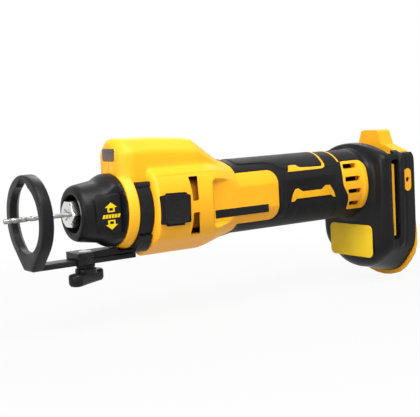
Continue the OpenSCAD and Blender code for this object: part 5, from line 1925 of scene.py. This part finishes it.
@dataclass
class Inside:
    """Motor, bearings, lamp and electronics, which show through the openings."""

    nodes: tuple[tuple[str, Finish], ...] = (
        ("bearing_carrier", PAINTS.cast), ("dust_seal", PAINTS.felt), ("collar_ring", PAINTS.steel),
        ("front_bearing", PAINTS.steel), ("rear_bearing", PAINTS.steel), ("stator_core", PAINTS.iron),
        ("stator_coils", PAINTS.copper), ("sensor_board", PAINTS.board), ("control_module", PAINTS.cast),
        ("phase_leads", PAINTS.red_wire), ("battery_leads", PAINTS.black_wire), ("lamp_board", PAINTS.board))
    lens_rows: Outline = ((-239.9, 0.0), (-242.6, 0.0), (-242.95, 0.2), (-243.1, 0.7))
    lens_gap: float = 0.12

    def lens(self) -> Solid:
        """Smoked cover of the lamp, with a soft front edge.

        Returns:
            The cover.
        """
        housing = Housing()
        outline = grown(rounded(*housing.lamp, housing.lamp_corner, 6), -self.lens_gap)
        return Solid().loft(np.array([np.insert(grown(outline, -inset), 0, x, axis=1)
                                      for x, inset in self.lens_rows]))

    def build(self) -> None:
        """Gives each inner node its finish and makes the lamp's cover."""
        for node, finish in self.nodes:
            Bench.keep(node, finish)
        Bench.dress(self.lens().piece("lamp_cover"), PAINTS.lens, "housing", ["lamp_lens"])


# ---------------------------------------------------------------- studio


@dataclass(frozen=True)
class SoftLamp:
    """Large soft lamp of the studio."""

    name: str
    place: Triple
    aim: Triple
    size: float
    watts: float

    def build(self) -> None:
        """Hangs the lamp and turns it to its aim."""
        data = bpy.data.lights.new(self.name, "AREA")
        data.shape, data.size, data.energy = "DISK", self.size * MM, self.watts
        lamp = placed(self.name, data)
        lamp.location = Vector(self.place) * MM
        lamp.rotation_euler = (Vector(self.aim) - Vector(self.place)).to_track_quat("-Z", "Y").to_euler()


@dataclass
class Studio:
    """Camera at the photograph's angle, soft lamps, a pale floor and a white room."""

    eye: Triple = (-536.63, -540.43, 59.06)
    aim: Triple = (-165.992, 0.0, -7.047)
    roll: float = -3.04
    lens: float = 81.92
    sensor: float = 36.0
    clip: Pair = (0.01, 20.0)
    floor_z: float = -76.4
    floor_half: float = 2600.0
    floor_thick: float = 4.0
    floor_tones: tuple[Colour, Colour] = ((0.44, 0.44, 0.44, 1.0), (0.42, 0.42, 0.42, 1.0))
    glow_x: float = -0.18
    glow_reach: Pair = (0.16, 0.42)
    floor_glow: float = 0.92
    room_level: float = 0.38
    lamps: tuple[SoftLamp, ...] = (
        SoftLamp("overhead", (-290.0, -330.0, 600.0), (-170.0, 0.0, 0.0), 520.0, 6.1),
        SoftLamp("front", (-900.0, -200.0, 260.0), (-200.0, 0.0, 0.0), 520.0, 3.7),
        SoftLamp("rear_rim", (150.0, 420.0, 420.0), (-120.0, 0.0, 10.0), 400.0, 1.6))

    def camera(self) -> None:
        """Stands the camera where the photograph was taken."""
        data = bpy.data.cameras.new("photo_camera")
        data.lens, data.sensor_width = self.lens, self.sensor
        data.clip_start, data.clip_end = self.clip
        eye, aim = Vector(self.eye) * MM, Vector(self.aim) * MM
        ahead = (aim - eye).normalized()
        right = ahead.cross(Vector((0.0, 0.0, 1.0))).normalized()
        up = right.cross(ahead)
        turn = math.radians(self.roll)
        across = right * math.cos(turn) + up * math.sin(turn)
        above = up * math.cos(turn) - right * math.sin(turn)
        made = placed("photo_camera", data)
        made.matrix_world = Matrix.Translation(eye) @ Matrix((across, above, -ahead)).transposed().to_4x4()
        bpy.context.scene.camera = made

    def room(self) -> None:
        """Lights the room evenly and shows it white."""
        world = bpy.data.worlds.new("white_room")
        world.use_nodes = True
        bpy.context.scene.world = world
        graph = Graph(world.node_tree)
        light, white = (graph.node("ShaderNodeBackground", {}, {"Color": WHITE, "Strength": level})
                        for level in (self.room_level, 1.0))
        shown = graph.node("ShaderNodeMixShader", {}, {0: graph.looked_at(), 1: light, 2: white})
        graph.node("ShaderNodeOutputWorld", {}, {"Surface": shown})

    def floor(self) -> None:
        """Lays a wide pale floor under the tool."""
        half = self.floor_half
        span = np.array([(-half, -half), (half, -half), (half, half), (-half, half)])
        slab = Solid().prism(span, Axis.Z, self.floor_z - self.floor_thick, self.floor_z).piece("studio_floor")
        stuff = bpy.data.materials.new("pale_floor")
        stuff.use_nodes = True
        graph = Graph(stuff.node_tree)
        plain = graph.node("ShaderNodeBsdfPrincipled", {}, {
            "Base Color": graph.blend(graph.grain(30.0, 3.0), *self.floor_tones), "Roughness": 0.9,
            "Specular IOR Level": 0.1})
        glow = graph.node("ShaderNodeEmission", {}, {"Color": WHITE, "Strength": 1.0})
        far = graph.node("ShaderNodeVectorMath", {"operation": "DISTANCE"},
                         {0: graph.spot(), 1: (self.glow_x, 0.0, self.floor_z * MM)}, 1)
        share = self.floor_glow + far.between(*self.glow_reach) * (1.0 - self.floor_glow)
        shown = graph.node("ShaderNodeMixShader", {}, {0: graph.looked_at() * share, 1: plain, 2: glow})
        graph.node("ShaderNodeOutputMaterial", {}, {"Surface": shown})
        slab.data.materials.append(stuff)

    def build(self) -> None:
        """Sets the studio up."""
        bpy.context.scene.view_settings.view_transform = "Standard"
        self.camera()
        self.room()
        self.floor()
        for lamp in self.lamps:
            lamp.build()


def main() -> None:
    """Builds the studio and every sub-assembly in order."""
    logging.basicConfig(level=logging.INFO, format="%(name)s: %(message)s")
    for part in (Studio(), Housing(), Grip(), Foot(), Collar(), Buttons(), Spindle(), Guide(), Inside()):
        LOG.info("building %s", type(part).__name__)
        part.build()


if __name__ == "__main__":
    main()
